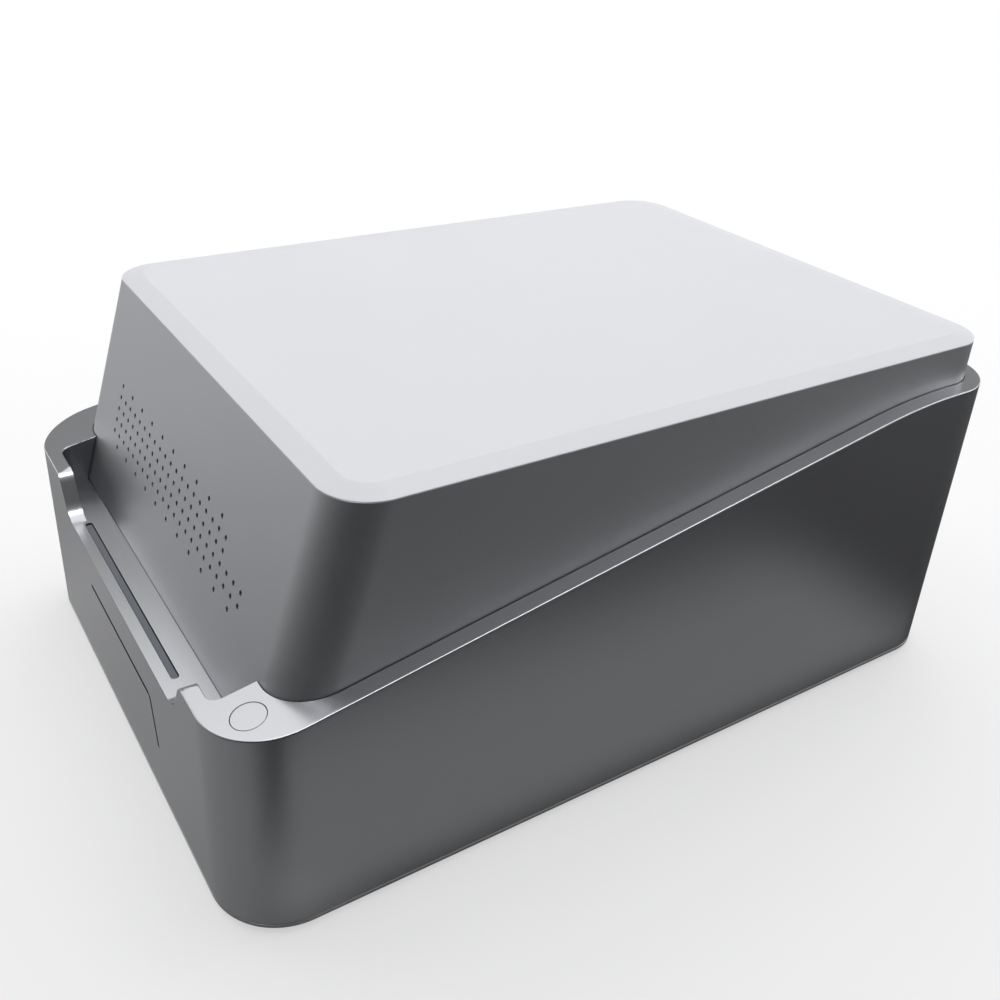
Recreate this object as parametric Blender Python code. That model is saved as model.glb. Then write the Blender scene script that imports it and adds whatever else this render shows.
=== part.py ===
"""Desktop phosphor plate scanner as an assembly of separate pieces. Metres, +Z up, front towards -Y,
origin on the floor under the middle of the case."""

import math

import bmesh
import bpy
from mathutils import Matrix, Vector

# Gaps and steps shared by all pieces
seat_gap = 0.0003
cut_overrun = 0.002
weld_overlap = 0.0005
corner_steps = 8
round_count = 24
small_round_count = 16

# Base shell
base_width = 0.220
base_depth = 0.313
base_corner_radius = 0.0236
base_wall = 0.003
floor_clearance = 0.002
rim_front_height = 0.0723
rim_back_height = 0.1209
rim_level_length = 0.0465
rim_bend_length = 0.020
rim_bend_steps = 8
ledge_height = 0.0577
ledge_thickness = 0.003
trough_side_inset = 0.0256
trough_front_wall = 0.00525
trough_corner_radius = 0.0025
scoop_middle_inset = 0.0444
scoop_shift = 0.0033
scoop_slope = math.radians(62)
scoop_ledge_radius = 0.0095
scoop_rim_radius = 0.0070
scoop_steps = 8
shelf_width = 0.0084
shelf_front_width = 0.0103
shelf_corner_radius = 0.010
seam_gap = 0.0005

# Slot in the ledge and the plate carrier that rises out of it
slot_end_inset = 0.059
slot_corner_radius = 0.0012
carrier_thickness = 0.0021
carrier_clearance = 0.0003
carrier_end_clearance = 0.0008
carrier_top_drop = 0.0005
carrier_foot_height = 0.016
carrier_arm_height = 0.006
carrier_arm_lap = 0.007
carrier_arm_margin = 0.0055
plate_recess_width = 0.058
plate_recess_depth = 0.0008
plate_lip_height = 0.0025
plate_top_bar = 0.0030
seal_height = 0.002
seal_front_wall = 0.00065
seal_rear_wall = 0.00145
seal_end_wall = 0.003

# Lift: guide rods, lead screw, pulleys, belt and motor
rod_radius = 0.0025
rod_beyond_slot = 0.009
running_clearance = 0.0003
arm_end_wall = 0.0032
screw_radius = 0.003
screw_beyond_rod = 0.013
bearing_radius = 0.006
bearing_height = 0.004
pulley_height = 0.007
pulley_flange = 0.0008
pulley_lip = 0.001
screw_pulley_radius = 0.006
drive_pulley_radius = 0.0045
belt_thickness = 0.0014
belt_edge_gap = 0.0004
belt_wall_gap = 0.0008
motor_size = 0.028
motor_height = 0.027
motor_corner_radius = 0.004
motor_beyond_screw = 0.015
motor_behind_screw = 0.027
motor_shaft_radius = 0.0025
motor_shaft_entry = 0.006
bracket_plate = 0.002
bracket_margin = 0.002
bracket_opening_radius = 0.0055
bracket_pulley_gap = 0.0011

# Bottom plate, screws and feet
bottom_plate_thickness = 0.0016
foot_radius = 0.009
foot_taper = 0.001
foot_side_inset = 0.024
foot_end_inset = 0.028
screw_side_inset = 0.0065
screw_front_inset = 0.0765
screw_rear_inset = 0.0365
screw_head_radius = 0.0031
screw_shank_radius = 0.0015
screw_length = 0.011
boss_radius = 0.004
boss_height = 0.016

# Button
button_radius = 0.0053
button_ring_gap = 0.0003
button_side_inset = 0.0141
button_front_inset = 0.0122
button_cap_thickness = 0.0025
button_crown = 0.0002
button_stem_radius = 0.0018
button_stem_outward = 0.0015
button_stem_forward = 0.0025
button_travel = 0.0006
button_spare_depth = 0.0004
switch_size = 0.006
switch_height = 0.0035
plunger_radius = 0.0015
plunger_height = 0.0008
plunger_gap = 0.0003
switch_drop = 0.0104
board_thickness = 0.0012
button_board_length = 0.012
button_board_depth = 0.008
button_board_shift = 0.0029
board_post_radius = 0.0012
board_post_inset = 0.0017

# Accent line on the front wall
accent_start_x = -0.033
accent_bend_x = 0.0365
accent_end_x = 0.0404
accent_level = 0.0442
accent_end_level = 0.0253
accent_width = 0.0005
accent_depth = 0.0006
accent_recess = 0.0001

# Upper casing and its perforations
casing_side_inset = 0.0066
casing_rear_inset = 0.0063
casing_foot_inset = 0.0142
casing_lean = 0.0232
casing_corner_radius = 0.0162
casing_wall = 0.0025
casing_flange_width = 0.010
casing_flange_thickness = 0.0025
casing_opening_radius = 0.008
hole_radius = 0.0009
hole_sides = 6
hole_pitch_across = 0.00582
hole_pitch_up = 0.00454
hole_first_row = 0.0249
hole_field_shift = -0.0019
hole_columns = 23
hole_rows = 5
short_columns = 3
short_column_rows = 3

# Top cover
cover_edge_height = 0.1371
cover_edge_thickness = 0.0006
cover_bevel_width = 0.0077
cover_bevel_rise = 0.001
cover_lip_height = 0.003
cover_lip_thickness = 0.002

# Optics
bench_thickness = 0.003
bench_level = 0.010
bench_side_inset = 0.020
bench_laser_margin = 0.004
bench_front_setback = 0.0265
bench_tongue_length = 0.032
bench_tongue_width = 0.080
bench_board_gap = 0.020
bench_leg_radius = 0.004
bench_leg_inset = 0.008
scan_level = 0.034
mirror_setback = 0.1365
mirror_radius = 0.016
mirror_sides = 8
mirror_height = 0.006
mirror_hub_radius = 0.007
mirror_hub_height = 0.0087
mirror_cap_radius = 0.004
mirror_cap_rise = 0.002
scan_motor_size = 0.036
scan_motor_flange = 0.003
scan_motor_radius = 0.013
laser_nose_x = 0.022
laser_nose_length = 0.008
laser_nose_radius = 0.004
laser_body_length = 0.028
laser_body_radius = 0.0065
laser_groove_depth = 0.001
laser_groove_width = 0.002
laser_groove_count = 3
laser_cradle_length = 0.018
laser_cradle_width = 0.020
laser_cradle_start = 0.036
laser_cradle_drop = 0.001
lens_before_mirror = 0.038
lens_half_length = 0.030
lens_edge_thickness = 0.004
lens_bulge = 0.004
lens_height = 0.014
lens_seat_margin = 0.001
guide_end_gap = 0.008
guide_end_half_length = 0.013
guide_height = 0.010
guide_level = 0.020
guide_carrier_gap = 0.00165
guide_length = 0.0175
detector_half_width = 0.015
detector_length = 0.0267
detector_top = 0.032
lamp_end_gap = 0.009
lamp_depth = 0.008
lamp_height = 0.0124
lamp_groove_depth = 0.002
lamp_groove_height = 0.006

# Equipment deck and what stands on it
deck_thickness = 0.0015
deck_side_gap = 0.0029
deck_front_gap = 0.0047
deck_corner_radius = 0.010
deck_vent_count = 9
deck_vent_width = 0.003
deck_vent_length = 0.030
deck_vent_pitch = 0.008
deck_vent_inset = 0.050
standoff_radius = 0.003
standoff_height = 0.005
pcb_thickness = 0.0016
pcb_corner_inset = 0.005
control_board_side_gap = 0.0159
control_board_power_gap = 0.015
control_board_length = 0.110
control_board_setback = 0.1815
chip_height = 0.0025
chip_size = 0.018
sink_size = 0.030
sink_base = 0.003
sink_height = 0.012
sink_fin = 0.0015
sink_fin_count = 6
power_module_width = 0.058
power_module_length = 0.100
power_module_height = 0.030
power_module_side_gap = 0.0129
power_module_setback = 0.1865
power_lid_inset = 0.002
power_lid_height = 0.002
filter_margin = 0.0022
filter_start = 0.018
filter_end = 0.054
filter_thickness = 0.004

# Rear of the base
main_board_side_inset = 0.015
main_board_length = 0.080
main_board_rear_inset = 0.0165
main_board_level = 0.009
bay_side_inset = 0.009
bay_width = 0.081
bay_top = 0.040
bay_block = 0.004
bay_recess = 0.0032
bay_margin = 0.003
bay_corner_inset = 0.005
usb_from_bay_end = 0.063
usb_width = 0.012
usb_height = 0.011
usb_length = 0.024
usb_shell = 0.0016
usb_depth = 0.009
usb_tongue_width = 0.0052
usb_tongue_height = 0.003
socket_proud = 0.0022
inlet_from_bay_end = 0.043
inlet_width = 0.009
inlet_length = 0.021
inlet_bore_radius = 0.0032
inlet_pin_radius = 0.001
inlet_depth = 0.009
switch_from_bay_end = 0.018
switch_level = 0.024
switch_flange_width = 0.024
switch_flange_height = 0.017
switch_flange_thickness = 0.0013
switch_body_width = 0.020
switch_body_height = 0.0136
switch_body_depth = 0.0135
switch_opening_width = 0.015
switch_opening_height = 0.011
switch_opening_depth = 0.009
rocker_width = 0.0144
rocker_half_height = 0.0047
rocker_tip = 0.0046
rocker_valley = 0.0034
rocker_back = 0.002
rocker_back_half_height = 0.0032
rocker_pivot_setback = 0.0053
rocker_tilt = math.radians(8)
axle_radius = 0.0012
axle_length = 0.017

# Fan
fan_side_inset = 0.060
fan_level = 0.030
fan_size = 0.040
fan_thickness = 0.010
fan_bore_radius = 0.0188
fan_corner_radius = 0.004
fan_hub_radius = 0.008
fan_disc_thickness = 0.0022
fan_strut_width = 0.003
fan_rotor_gap = 0.0005
fan_rotor_length = 0.0066
fan_blade_count = 7
fan_blade_radius = 0.0182
fan_blade_root = 0.006
fan_blade_chord = 0.0065
fan_blade_thickness = 0.0012
fan_blade_pitch = math.radians(35)
grille_count = 7
grille_pitch = 0.005
grille_width = 0.003
grille_height = 0.034

# Places that follow from the sizes
half_width = base_width / 2
front_y = -base_depth / 2
rear_y = base_depth / 2
plate_under = floor_clearance
plate_top = plate_under + bottom_plate_thickness
shell_bottom = plate_top + seat_gap
inner_floor = plate_top + seat_gap
ledge_top = floor_clearance + ledge_height
ledge_under = ledge_top - ledge_thickness
inner_ceiling = ledge_under - seat_gap
rim_front = floor_clearance + rim_front_height
rim_back = floor_clearance + rim_back_height
incline_end = rear_y - rim_level_length
rim_slope = (rim_back - rim_front) / (incline_end - front_y)
slot_width = carrier_thickness + 2 * carrier_clearance
slot_half_length = half_width - slot_end_inset
slot_y = front_y + base_wall + seat_gap + seal_front_wall + slot_width / 2
casing_half_width = half_width - casing_side_inset
casing_rear_y = rear_y - casing_rear_inset
casing_foot_y = front_y + casing_foot_inset
casing_foot = ledge_top + seat_gap
cover_edge_top = floor_clearance + cover_edge_height
cover_bottom = cover_edge_top - cover_edge_thickness
casing_top = cover_bottom - seat_gap
lean_rate = casing_lean / (casing_top - casing_foot)
casing_inner_top = casing_top - casing_flange_thickness
bench_top = bench_level + bench_thickness
deck_bottom = ledge_top + seat_gap
deck_top = deck_bottom + deck_thickness
rod_x = slot_half_length + rod_beyond_slot
rod_y = front_y + base_wall + belt_wall_gap + belt_thickness + running_clearance + screw_pulley_radius
screw_x = rod_x + screw_beyond_rod
carrier_front_y = slot_y - carrier_thickness / 2
carrier_rear_y = slot_y + carrier_thickness / 2
pulley_bottom = inner_floor + bearing_height + seat_gap
pulley_top = pulley_bottom + pulley_height
motor_x = screw_x + motor_beyond_screw
motor_y = rod_y + motor_behind_screw
bracket_top = pulley_top + bracket_pulley_gap + bracket_plate
bench_front_y = front_y + bench_front_setback
bench_left = half_width - bench_side_inset
bench_right = laser_nose_x + laser_nose_length + laser_body_length + bench_laser_margin
mirror_y = front_y + mirror_setback
lens_y = mirror_y - lens_before_mirror
power_module_x = casing_half_width - casing_wall - power_module_side_gap - power_module_width / 2
power_module_y = front_y + power_module_setback
control_board_low_x = -casing_half_width + casing_wall + control_board_side_gap
control_board_high_x = power_module_x - power_module_width / 2 - control_board_power_gap
control_board_y = front_y + control_board_setback
main_board_rear_y = rear_y - main_board_rear_inset
bench_rear_y = main_board_rear_y - main_board_length - bench_board_gap
main_board_top = main_board_level + pcb_thickness
bay_face_y = rear_y - bay_recess
bay_left = -half_width + bay_side_inset
bay_block_left = bay_left + bay_corner_inset
bay_right = bay_left + bay_width
usb_x = bay_left + usb_from_bay_end
inlet_x = bay_left + inlet_from_bay_end
switch_x = bay_left + switch_from_bay_end
fan_x = half_width - fan_side_inset
fan_rear_y = rear_y - base_wall - seat_gap
fan_front_y = fan_rear_y - fan_thickness
rocker_axis_y = rear_y - rocker_pivot_setback


def finish(name, colour, roughness, metallic):
    """A material with one Principled BSDF."""
    material = bpy.data.materials.new(name)
    material.use_nodes = True
    shader = material.node_tree.nodes["Principled BSDF"]
    shader.inputs["Base Color"].default_value = (*colour, 1)
    shader.inputs["Roughness"].default_value = roughness
    shader.inputs["Metallic"].default_value = metallic
    material.diffuse_color = (*colour, 1)
    return material


def skin(name, rings, closed=False):
    """One object whose surface joins each ring of points to the next; the ends are capped unless closed."""
    return skins(name, [rings], closed)


def skins(name, ring_sets, closed=False):
    """Like skin, with several separate shapes in one mesh."""
    shape = bmesh.new()
    for rings in ring_sets:
        made = [[shape.verts.new(point) for point in ring] for ring in rings]
        pairs = list(zip(made, made[1:]))
        if closed:
            pairs.append((made[-1], made[0]))
        for lower, upper in pairs:
            count = len(lower)
            for index in range(count):
                after = (index + 1) % count
                shape.faces.new((lower[index], lower[after], upper[after], upper[index]))
        if not closed:
            shape.faces.new(list(reversed(made[0])))
            shape.faces.new(made[-1])
    bmesh.ops.recalc_face_normals(shape, faces=shape.faces)
    mesh = bpy.data.meshes.new(name)
    shape.to_mesh(mesh)
    shape.free()
    piece = bpy.data.objects.new(name, mesh)
    bpy.context.scene.collection.objects.link(piece)
    return piece


def helper(piece):
    """Marks a cutter or an added block, which isn't a piece of its own."""
    piece.hide_render = True
    piece.display_type = "WIRE"
    return piece


def combine(piece, other, operation):
    modifier = piece.modifiers.new(other.name, "BOOLEAN")
    modifier.operation = operation
    modifier.solver = "EXACT"
    modifier.object = helper(other)
    return piece


def cut(piece, cutter):
    return combine(piece, cutter, "DIFFERENCE")


def join(piece, block):
    return combine(piece, block, "UNION")


def dress(piece, material, smooth=False):
    piece.data.materials.append(material)
    if smooth:
        piece.data.shade_smooth()
        piece.data.set_sharp_from_angle(angle=math.radians(35))
    return piece


def set_origin(piece, point):
    """Moves the object's origin to the point and leaves its shape where it is."""
    piece.data.transform(Matrix.Translation(-Vector(point)))
    piece.location = point
    return piece


def rounded_rectangle(low_x, high_x, low_y, high_y, radius, steps=corner_steps):
    """Outline with round corners, anticlockwise."""
    centres = (
        (high_x - radius, high_y - radius, 0),
        (low_x + radius, high_y - radius, 1),
        (low_x + radius, low_y + radius, 2),
        (high_x - radius, low_y + radius, 3),
    )
    points = []
    for centre_x, centre_y, quarter in centres:
        for step in range(steps + 1):
            angle = (quarter + step / steps) * math.pi / 2
            points.append((centre_x + radius * math.cos(angle), centre_y + radius * math.sin(angle)))
    return points


def circle(centre_x, centre_y, radius, count=round_count):
    angles = [2 * math.pi * index / count for index in range(count)]
    return [(centre_x + radius * math.cos(a), centre_y + radius * math.sin(a)) for a in angles]


def level(outline, height):
    """An outline in X and Y laid at a height."""
    return [(x, y, height) for x, y in outline]


def upright(outline, y):
    """An outline in X and Z stood at a depth."""
    return [(x, y, z) for x, z in outline]


def sideways(outline, x):
    """An outline in Y and Z stood at a distance across."""
    return [(x, y, z) for y, z in outline]


def prism(outline, low, high):
    return [level(outline, low), level(outline, high)]


def box(low_x, high_x, low_y, high_y, low_z, high_z):
    corners = [(low_x, low_y), (high_x, low_y), (high_x, high_y), (low_x, high_y)]
    return prism(corners, low_z, high_z)


def block(x, y, half_x, half_y, low, high):
    """A box about an upright centre line."""
    return box(x - half_x, x + half_x, y - half_y, y + half_y, low, high)


def ring_prism(outer, inner, low, high):
    """Rings of a flat ring or tube with equal counts outside and inside, for a closed skin."""
    return [level(outer, low), level(outer, high), level(inner, high), level(inner, low)]


def turned(origin, direction, profile, count=round_count):
    """Rings about an axis. The profile is pairs of distance along the axis and radius."""
    turn = Vector((0, 0, 1)).rotation_difference(Vector(direction)).to_matrix()
    rings = []
    for distance, radius in profile:
        flat = circle(0, 0, radius, count)
        rings.append([Vector(origin) + turn @ Vector((x, y, distance)) for x, y in flat])
    return rings


def rim_height(y):
    """Height of the inclined rim at a depth, before its level rear part."""
    return rim_front + rim_slope * (y - front_y)


def casing_front_y(height):
    return casing_foot_y + lean_rate * (height - casing_foot)


def casing_outline(height, grow=0):
    """The casing's outline at a height, grown outwards or, when negative, inwards."""
    return rounded_rectangle(
        -casing_half_width - grow,
        casing_half_width + grow,
        casing_front_y(height) - grow,
        casing_rear_y + grow,
        casing_corner_radius + grow,
    )


def casing_form(low, high, grow=0):
    return [level(casing_outline(low, grow), low), level(casing_outline(high, grow), high)]


def base_outline(inset=0):
    return rounded_rectangle(
        -half_width + inset,
        half_width - inset,
        front_y + inset,
        rear_y - inset,
        base_corner_radius - inset,
        corner_steps + 4,
    )


def screw_places():
    for side in (-1, 1):
        for y in (front_y + screw_front_inset, rear_y - screw_rear_inset):
            yield side * (half_width - screw_side_inset), y


def screw_profile(grow):
    """Countersunk head and shank, from the head up."""
    return [
        (-cut_overrun if grow else 0, screw_head_radius + grow),
        (0, screw_head_radius + grow),
        (screw_head_radius - screw_shank_radius, screw_shank_radius + grow),
        (screw_length + grow, screw_shank_radius + grow),
    ][0 if grow else 1:]


def button_point():
    x = half_width - button_side_inset
    y = front_y + button_front_inset
    return Vector((x, y, rim_height(y)))


def button_axis():
    return Vector((0, -rim_slope, 1)).normalized()


def stem_point():
    """Where the stem's axis meets the rim, beside the cap's middle and clear of the casing's corner."""
    y = front_y + button_front_inset - button_stem_forward
    return Vector((half_width - button_side_inset + button_stem_outward, y, rim_height(y)))


def stem_length():
    """From the rim down to just over the switch's plunger."""
    tip = ledge_under - switch_drop + switch_height + plunger_height + button_travel + plunger_gap
    return (stem_point().z - tip) / button_axis().z


def stem_foot():
    return stem_point() - button_axis() * stem_length()


def button_rings(foot, shoulder, stem_radius, cap_profile):
    """A stem from foot to shoulder, then the wider cap, whose middle is beside the stem's."""
    stem_profile = [(foot, stem_radius), (shoulder, stem_radius)]
    stem = turned(stem_point(), button_axis(), stem_profile)
    return stem + turned(button_point(), button_axis(), cap_profile)


def rim_cutter():
    """Everything above the rim: inclined from the front, then bent to level at the back."""
    high = rim_back + 2 * cut_overrun
    start_y = front_y - cut_overrun
    bend_start = (incline_end - rim_bend_length, rim_height(incline_end - rim_bend_length))
    bend_corner = (incline_end, rim_back)
    bend_end = (incline_end + rim_bend_length, rim_back)
    profile = [(start_y, high), (start_y, rim_height(start_y))]
    for step in range(rim_bend_steps + 1):
        s = step / rim_bend_steps
        weights = ((1 - s) ** 2, 2 * s * (1 - s), s**2)
        bend = (bend_start, bend_corner, bend_end)
        profile.append(tuple(sum(w * p[axis] for w, p in zip(weights, bend)) for axis in (0, 1)))
    profile += [(rear_y + cut_overrun, rim_back), (rear_y + cut_overrun, high)]
    reach = half_width + cut_overrun
    return skin("rim_cutter", [sideways(profile, -reach), sideways(profile, reach)])


def scoop_cutter():
    """The front wall's dip to the ledge, with an S-curve at each end: an arc, a slope and an arc."""
    wall_rear_y = front_y + trough_front_wall
    top = rim_height(wall_rear_y)
    fall = 1 - math.cos(scoop_slope)
    fit = min(1, (top - ledge_top) / (fall * (scoop_ledge_radius + scoop_rim_radius)))
    low_radius = scoop_ledge_radius * fit
    high_radius = scoop_rim_radius * fit
    slope_rise = top - ledge_top - fall * (low_radius + high_radius)
    slope_run = slope_rise / math.tan(scoop_slope)
    middle_x = half_width - scoop_middle_inset
    low_x = middle_x - slope_run / 2 - low_radius * math.sin(scoop_slope)
    high_x = middle_x + slope_run / 2 + high_radius * math.sin(scoop_slope)
    side = []
    for step in range(scoop_steps + 1):
        angle = step / scoop_steps * scoop_slope
        side.append((low_x + low_radius * math.sin(angle), ledge_top + low_radius * (1 - math.cos(angle))))
    for step in range(scoop_steps, -1, -1):
        angle = step / scoop_steps * scoop_slope
        side.append((high_x - high_radius * math.sin(angle), top - high_radius * (1 - math.cos(angle))))
    side.append((high_x, top + cut_overrun))
    right = [(x + scoop_shift, z) for x, z in side]
    left = [(scoop_shift - x, z) for x, z in reversed(side)]
    near = front_y - cut_overrun
    far = wall_rear_y + cut_overrun
    return skin("scoop_cutter", [upright(right + left, near), upright(right + left, far)])


def trough_cutter():
    half = half_width - trough_side_inset
    outline = rounded_rectangle(
        -half,
        half,
        front_y + trough_front_wall,
        casing_front_y(rim_front) + casing_wall + cut_overrun,
        trough_corner_radius,
    )
    return skin("trough_cutter", prism(outline, ledge_top, rim_back))


def shelf_cutter():
    outline = rounded_rectangle(
        -casing_half_width + shelf_width,
        casing_half_width - shelf_width,
        casing_foot_y + shelf_front_width,
        casing_rear_y - shelf_width,
        shelf_corner_radius,
    )
    return skin("shelf_cutter", prism(outline, ledge_under - cut_overrun, ledge_top + cut_overrun))


def slot_cutter():
    outline = rounded_rectangle(
        -slot_half_length,
        slot_half_length,
        slot_y - slot_width / 2,
        slot_y + slot_width / 2,
        slot_corner_radius,
        3,
    )
    return skin("slot_cutter", prism(outline, ledge_under - cut_overrun, ledge_top + cut_overrun))


def button_bore():
    well = button_cap_thickness + button_travel + button_spare_depth
    radius = button_radius + button_ring_gap
    profile = [(-well, radius), (cut_overrun, radius)]
    stem_radius = button_stem_radius + running_clearance
    return skin("button_bore", button_rings(-stem_length(), -well, stem_radius, profile))


def board_posts():
    """Two posts under the ledge that the button's board hangs from."""
    posts = []
    low = ledge_under - switch_drop + seat_gap
    for x, y in board_post_places():
        outline = circle(x, y, board_post_radius, small_round_count)
        posts.append(prism(outline, low, ledge_under + weld_overlap))
    return skins("board_posts", posts)


def button_board_centre():
    return stem_foot().x - button_board_shift, stem_foot().y


def board_post_places():
    x, y = button_board_centre()
    reach = button_board_depth / 2 - board_post_inset
    left = x - button_board_length / 2 + board_post_inset
    return ((left, y - reach), (left, y + reach))


def accent_outline(width):
    """The L-shaped line as a strip of this width, its ends square."""
    path = [(accent_start_x, accent_level), (accent_bend_x, accent_level), (accent_end_x, accent_end_level)]
    grow = (width - accent_width) / 2
    first = Vector((1, 0))
    last = (Vector(path[2]) - Vector(path[1])).normalized()
    sides = []
    for sign in (1, -1):
        offset_first = Vector((0, sign * width / 2))
        offset_last = Vector((-last.y, last.x)) * (sign * width / 2)
        miter = (offset_first + offset_last).normalized()
        corner = Vector(path[1]) + miter * (width / 2) / miter.dot(offset_first.normalized())
        start = Vector(path[0]) + offset_first - first * grow
        end = Vector(path[2]) + offset_last + last * grow
        sides.append([start, corner, end])
    return [tuple(point) for point in sides[0]] + [tuple(point) for point in reversed(sides[1])]


def accent_groove():
    outline = accent_outline(accent_width + 2 * seat_gap)
    depth = accent_recess + accent_depth + seat_gap
    return skin("accent_groove", [upright(outline, front_y - cut_overrun), upright(outline, front_y + depth)])


def boss_block():
    blocks = []
    for x, y in screw_places():
        outline = circle(x, y, boss_radius, small_round_count)
        blocks.append(prism(outline, shell_bottom + seat_gap, shell_bottom + boss_height))
    return skins("boss_block", blocks)


def pilot_holes():
    holes = []
    for x, y in screw_places():
        outline = circle(x, y, screw_shank_radius + running_clearance, small_round_count)
        holes.append(prism(outline, shell_bottom - cut_overrun, plate_under + screw_length + cut_overrun))
    return skins("pilot_holes", holes)


def rear_openings():
    """Holes for the data socket, the power inlet, the switch body and the fan's grille."""
    inner = rear_y - base_wall - bay_block - cut_overrun
    outer = rear_y + cut_overrun
    usb_low = main_board_top + seat_gap
    boxes = []
    for x, width, low, high in (
        (usb_x, usb_width, usb_low, usb_low + usb_height),
        (inlet_x, inlet_width, usb_low, usb_low + usb_height),
        (
            switch_x,
            switch_body_width,
            switch_level - switch_body_height / 2,
            switch_level + switch_body_height / 2,
        ),
    ):
        half = width / 2 + seat_gap
        boxes.append(box(x - half, x + half, inner, outer, low - seat_gap, high + seat_gap))
    for index in range(grille_count):
        x = fan_x + (index - (grille_count - 1) / 2) * grille_pitch
        outline = rounded_rectangle(
            x - grille_width / 2,
            x + grille_width / 2,
            fan_level - grille_height / 2,
            fan_level + grille_height / 2,
            grille_width / 2,
            2,
        )
        boxes.append([upright(outline, inner), upright(outline, outer)])
    return boxes


def make_base_shell(material):
    shell = skin("base_shell", prism(base_outline(), shell_bottom, rim_back + cut_overrun))
    cut(shell, rim_cutter())
    cut(shell, skin("pocket_cutter", casing_form(ledge_top, rim_back + 2 * cut_overrun, seam_gap)))
    cut(shell, trough_cutter())
    cut(shell, scoop_cutter())
    cut(shell, skin("cavity_cutter", prism(base_outline(base_wall), shell_bottom - cut_overrun, ledge_under)))
    cut(shell, shelf_cutter())
    bay_low_y = rear_y - base_wall - bay_block
    bay_high_y = rear_y - base_wall + weld_overlap
    bay = box(bay_block_left, bay_right, bay_low_y, bay_high_y, shell_bottom + seat_gap, bay_top)
    join(shell, skin("bay_block", bay))
    join(shell, boss_block())
    join(shell, board_posts())
    recess = rounded_rectangle(
        bay_left + bay_margin,
        bay_right - bay_margin,
        shell_bottom + bay_margin,
        bay_top - bay_margin,
        bay_margin,
        4,
    )
    cut(shell, skin("bay_recess", [upright(recess, bay_face_y), upright(recess, rear_y + cut_overrun)]))
    for number, opening in enumerate(rear_openings(), 1):
        cut(shell, skin(f"rear_opening_{number}", opening))
    cut(shell, slot_cutter())
    cut(shell, button_bore())
    cut(shell, pilot_holes())
    cut(shell, accent_groove())
    return dress(shell, material, smooth=True)


def make_bottom_plate(material):
    plate = skin("bottom_plate", prism(base_outline(), plate_under, plate_top))
    holes = []
    for x, y in screw_places():
        holes.append(turned((x, y, plate_under), (0, 0, 1), screw_profile(seat_gap), small_round_count))
    cut(plate, skins("plate_holes", holes))
    return dress(plate, material, smooth=True)


def make_feet(material):
    for end, end_name in ((-1, "front"), (1, "rear")):
        for side, side_name in ((-1, "left"), (1, "right")):
            x = side * (half_width - foot_side_inset)
            y = end * (rear_y - foot_end_inset)
            profile = [
                (0, foot_radius - foot_taper),
                (floor_clearance - seat_gap, foot_radius),
            ]
            foot = skin(f"foot_{end_name}_{side_name}", turned((x, y, 0), (0, 0, 1), profile))
            dress(foot, material, smooth=True)


def make_base_screws(material):
    for number, (x, y) in enumerate(screw_places(), 1):
        rings = turned((x, y, plate_under), (0, 0, 1), screw_profile(0), small_round_count)
        dress(skin(f"base_screw_{number}", rings), material, smooth=True)


def make_accent_inlay(material):
    outline = accent_outline(accent_width)
    near = front_y + accent_recess
    inlay = skin("accent_inlay", [upright(outline, near), upright(outline, near + accent_depth)])
    return dress(inlay, material)


def make_button(cap_material, switch_material, board_material):
    profile = [
        (-button_cap_thickness, button_radius),
        (-button_crown, button_radius),
        (0, button_radius - button_crown),
    ]
    cap = skin("button_cap", button_rings(-stem_length(), -button_cap_thickness, button_stem_radius, profile))
    dress(set_origin(cap, button_point()), cap_material, smooth=True)
    foot = stem_foot()
    board_top = ledge_under - switch_drop
    half = switch_size / 2
    switch_low = board_top + seat_gap
    body = block(foot.x, foot.y, half, half, switch_low, switch_low + switch_height)
    plunger_top = switch_low + switch_height + plunger_height - seat_gap
    plunger = circle(foot.x, foot.y, plunger_radius, small_round_count)
    switch = skin("button_switch", body)
    join(switch, skin("plunger_block", prism(plunger, switch_low + weld_overlap, plunger_top)))
    dress(switch, switch_material)
    x, y = button_board_centre()
    half_length = button_board_length / 2
    half_depth = button_board_depth / 2
    board = block(x, y, half_length, half_depth, board_top - board_thickness, board_top)
    dress(skin("button_board", board), board_material)


def make_slot_seal(material):
    inner_x = slot_half_length
    inner_low = slot_y - slot_width / 2
    inner_high = slot_y + slot_width / 2
    inner = rounded_rectangle(-inner_x, inner_x, inner_low, inner_high, slot_corner_radius, 3)
    outer_x = inner_x + seal_end_wall
    outer = rounded_rectangle(
        -outer_x, outer_x, inner_low - seal_front_wall, inner_high + seal_rear_wall, slot_corner_radius, 3
    )
    rings = ring_prism(outer, inner, inner_ceiling - seal_height, inner_ceiling)
    return dress(skin("slot_light_seal", rings, closed=True), material)


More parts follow.
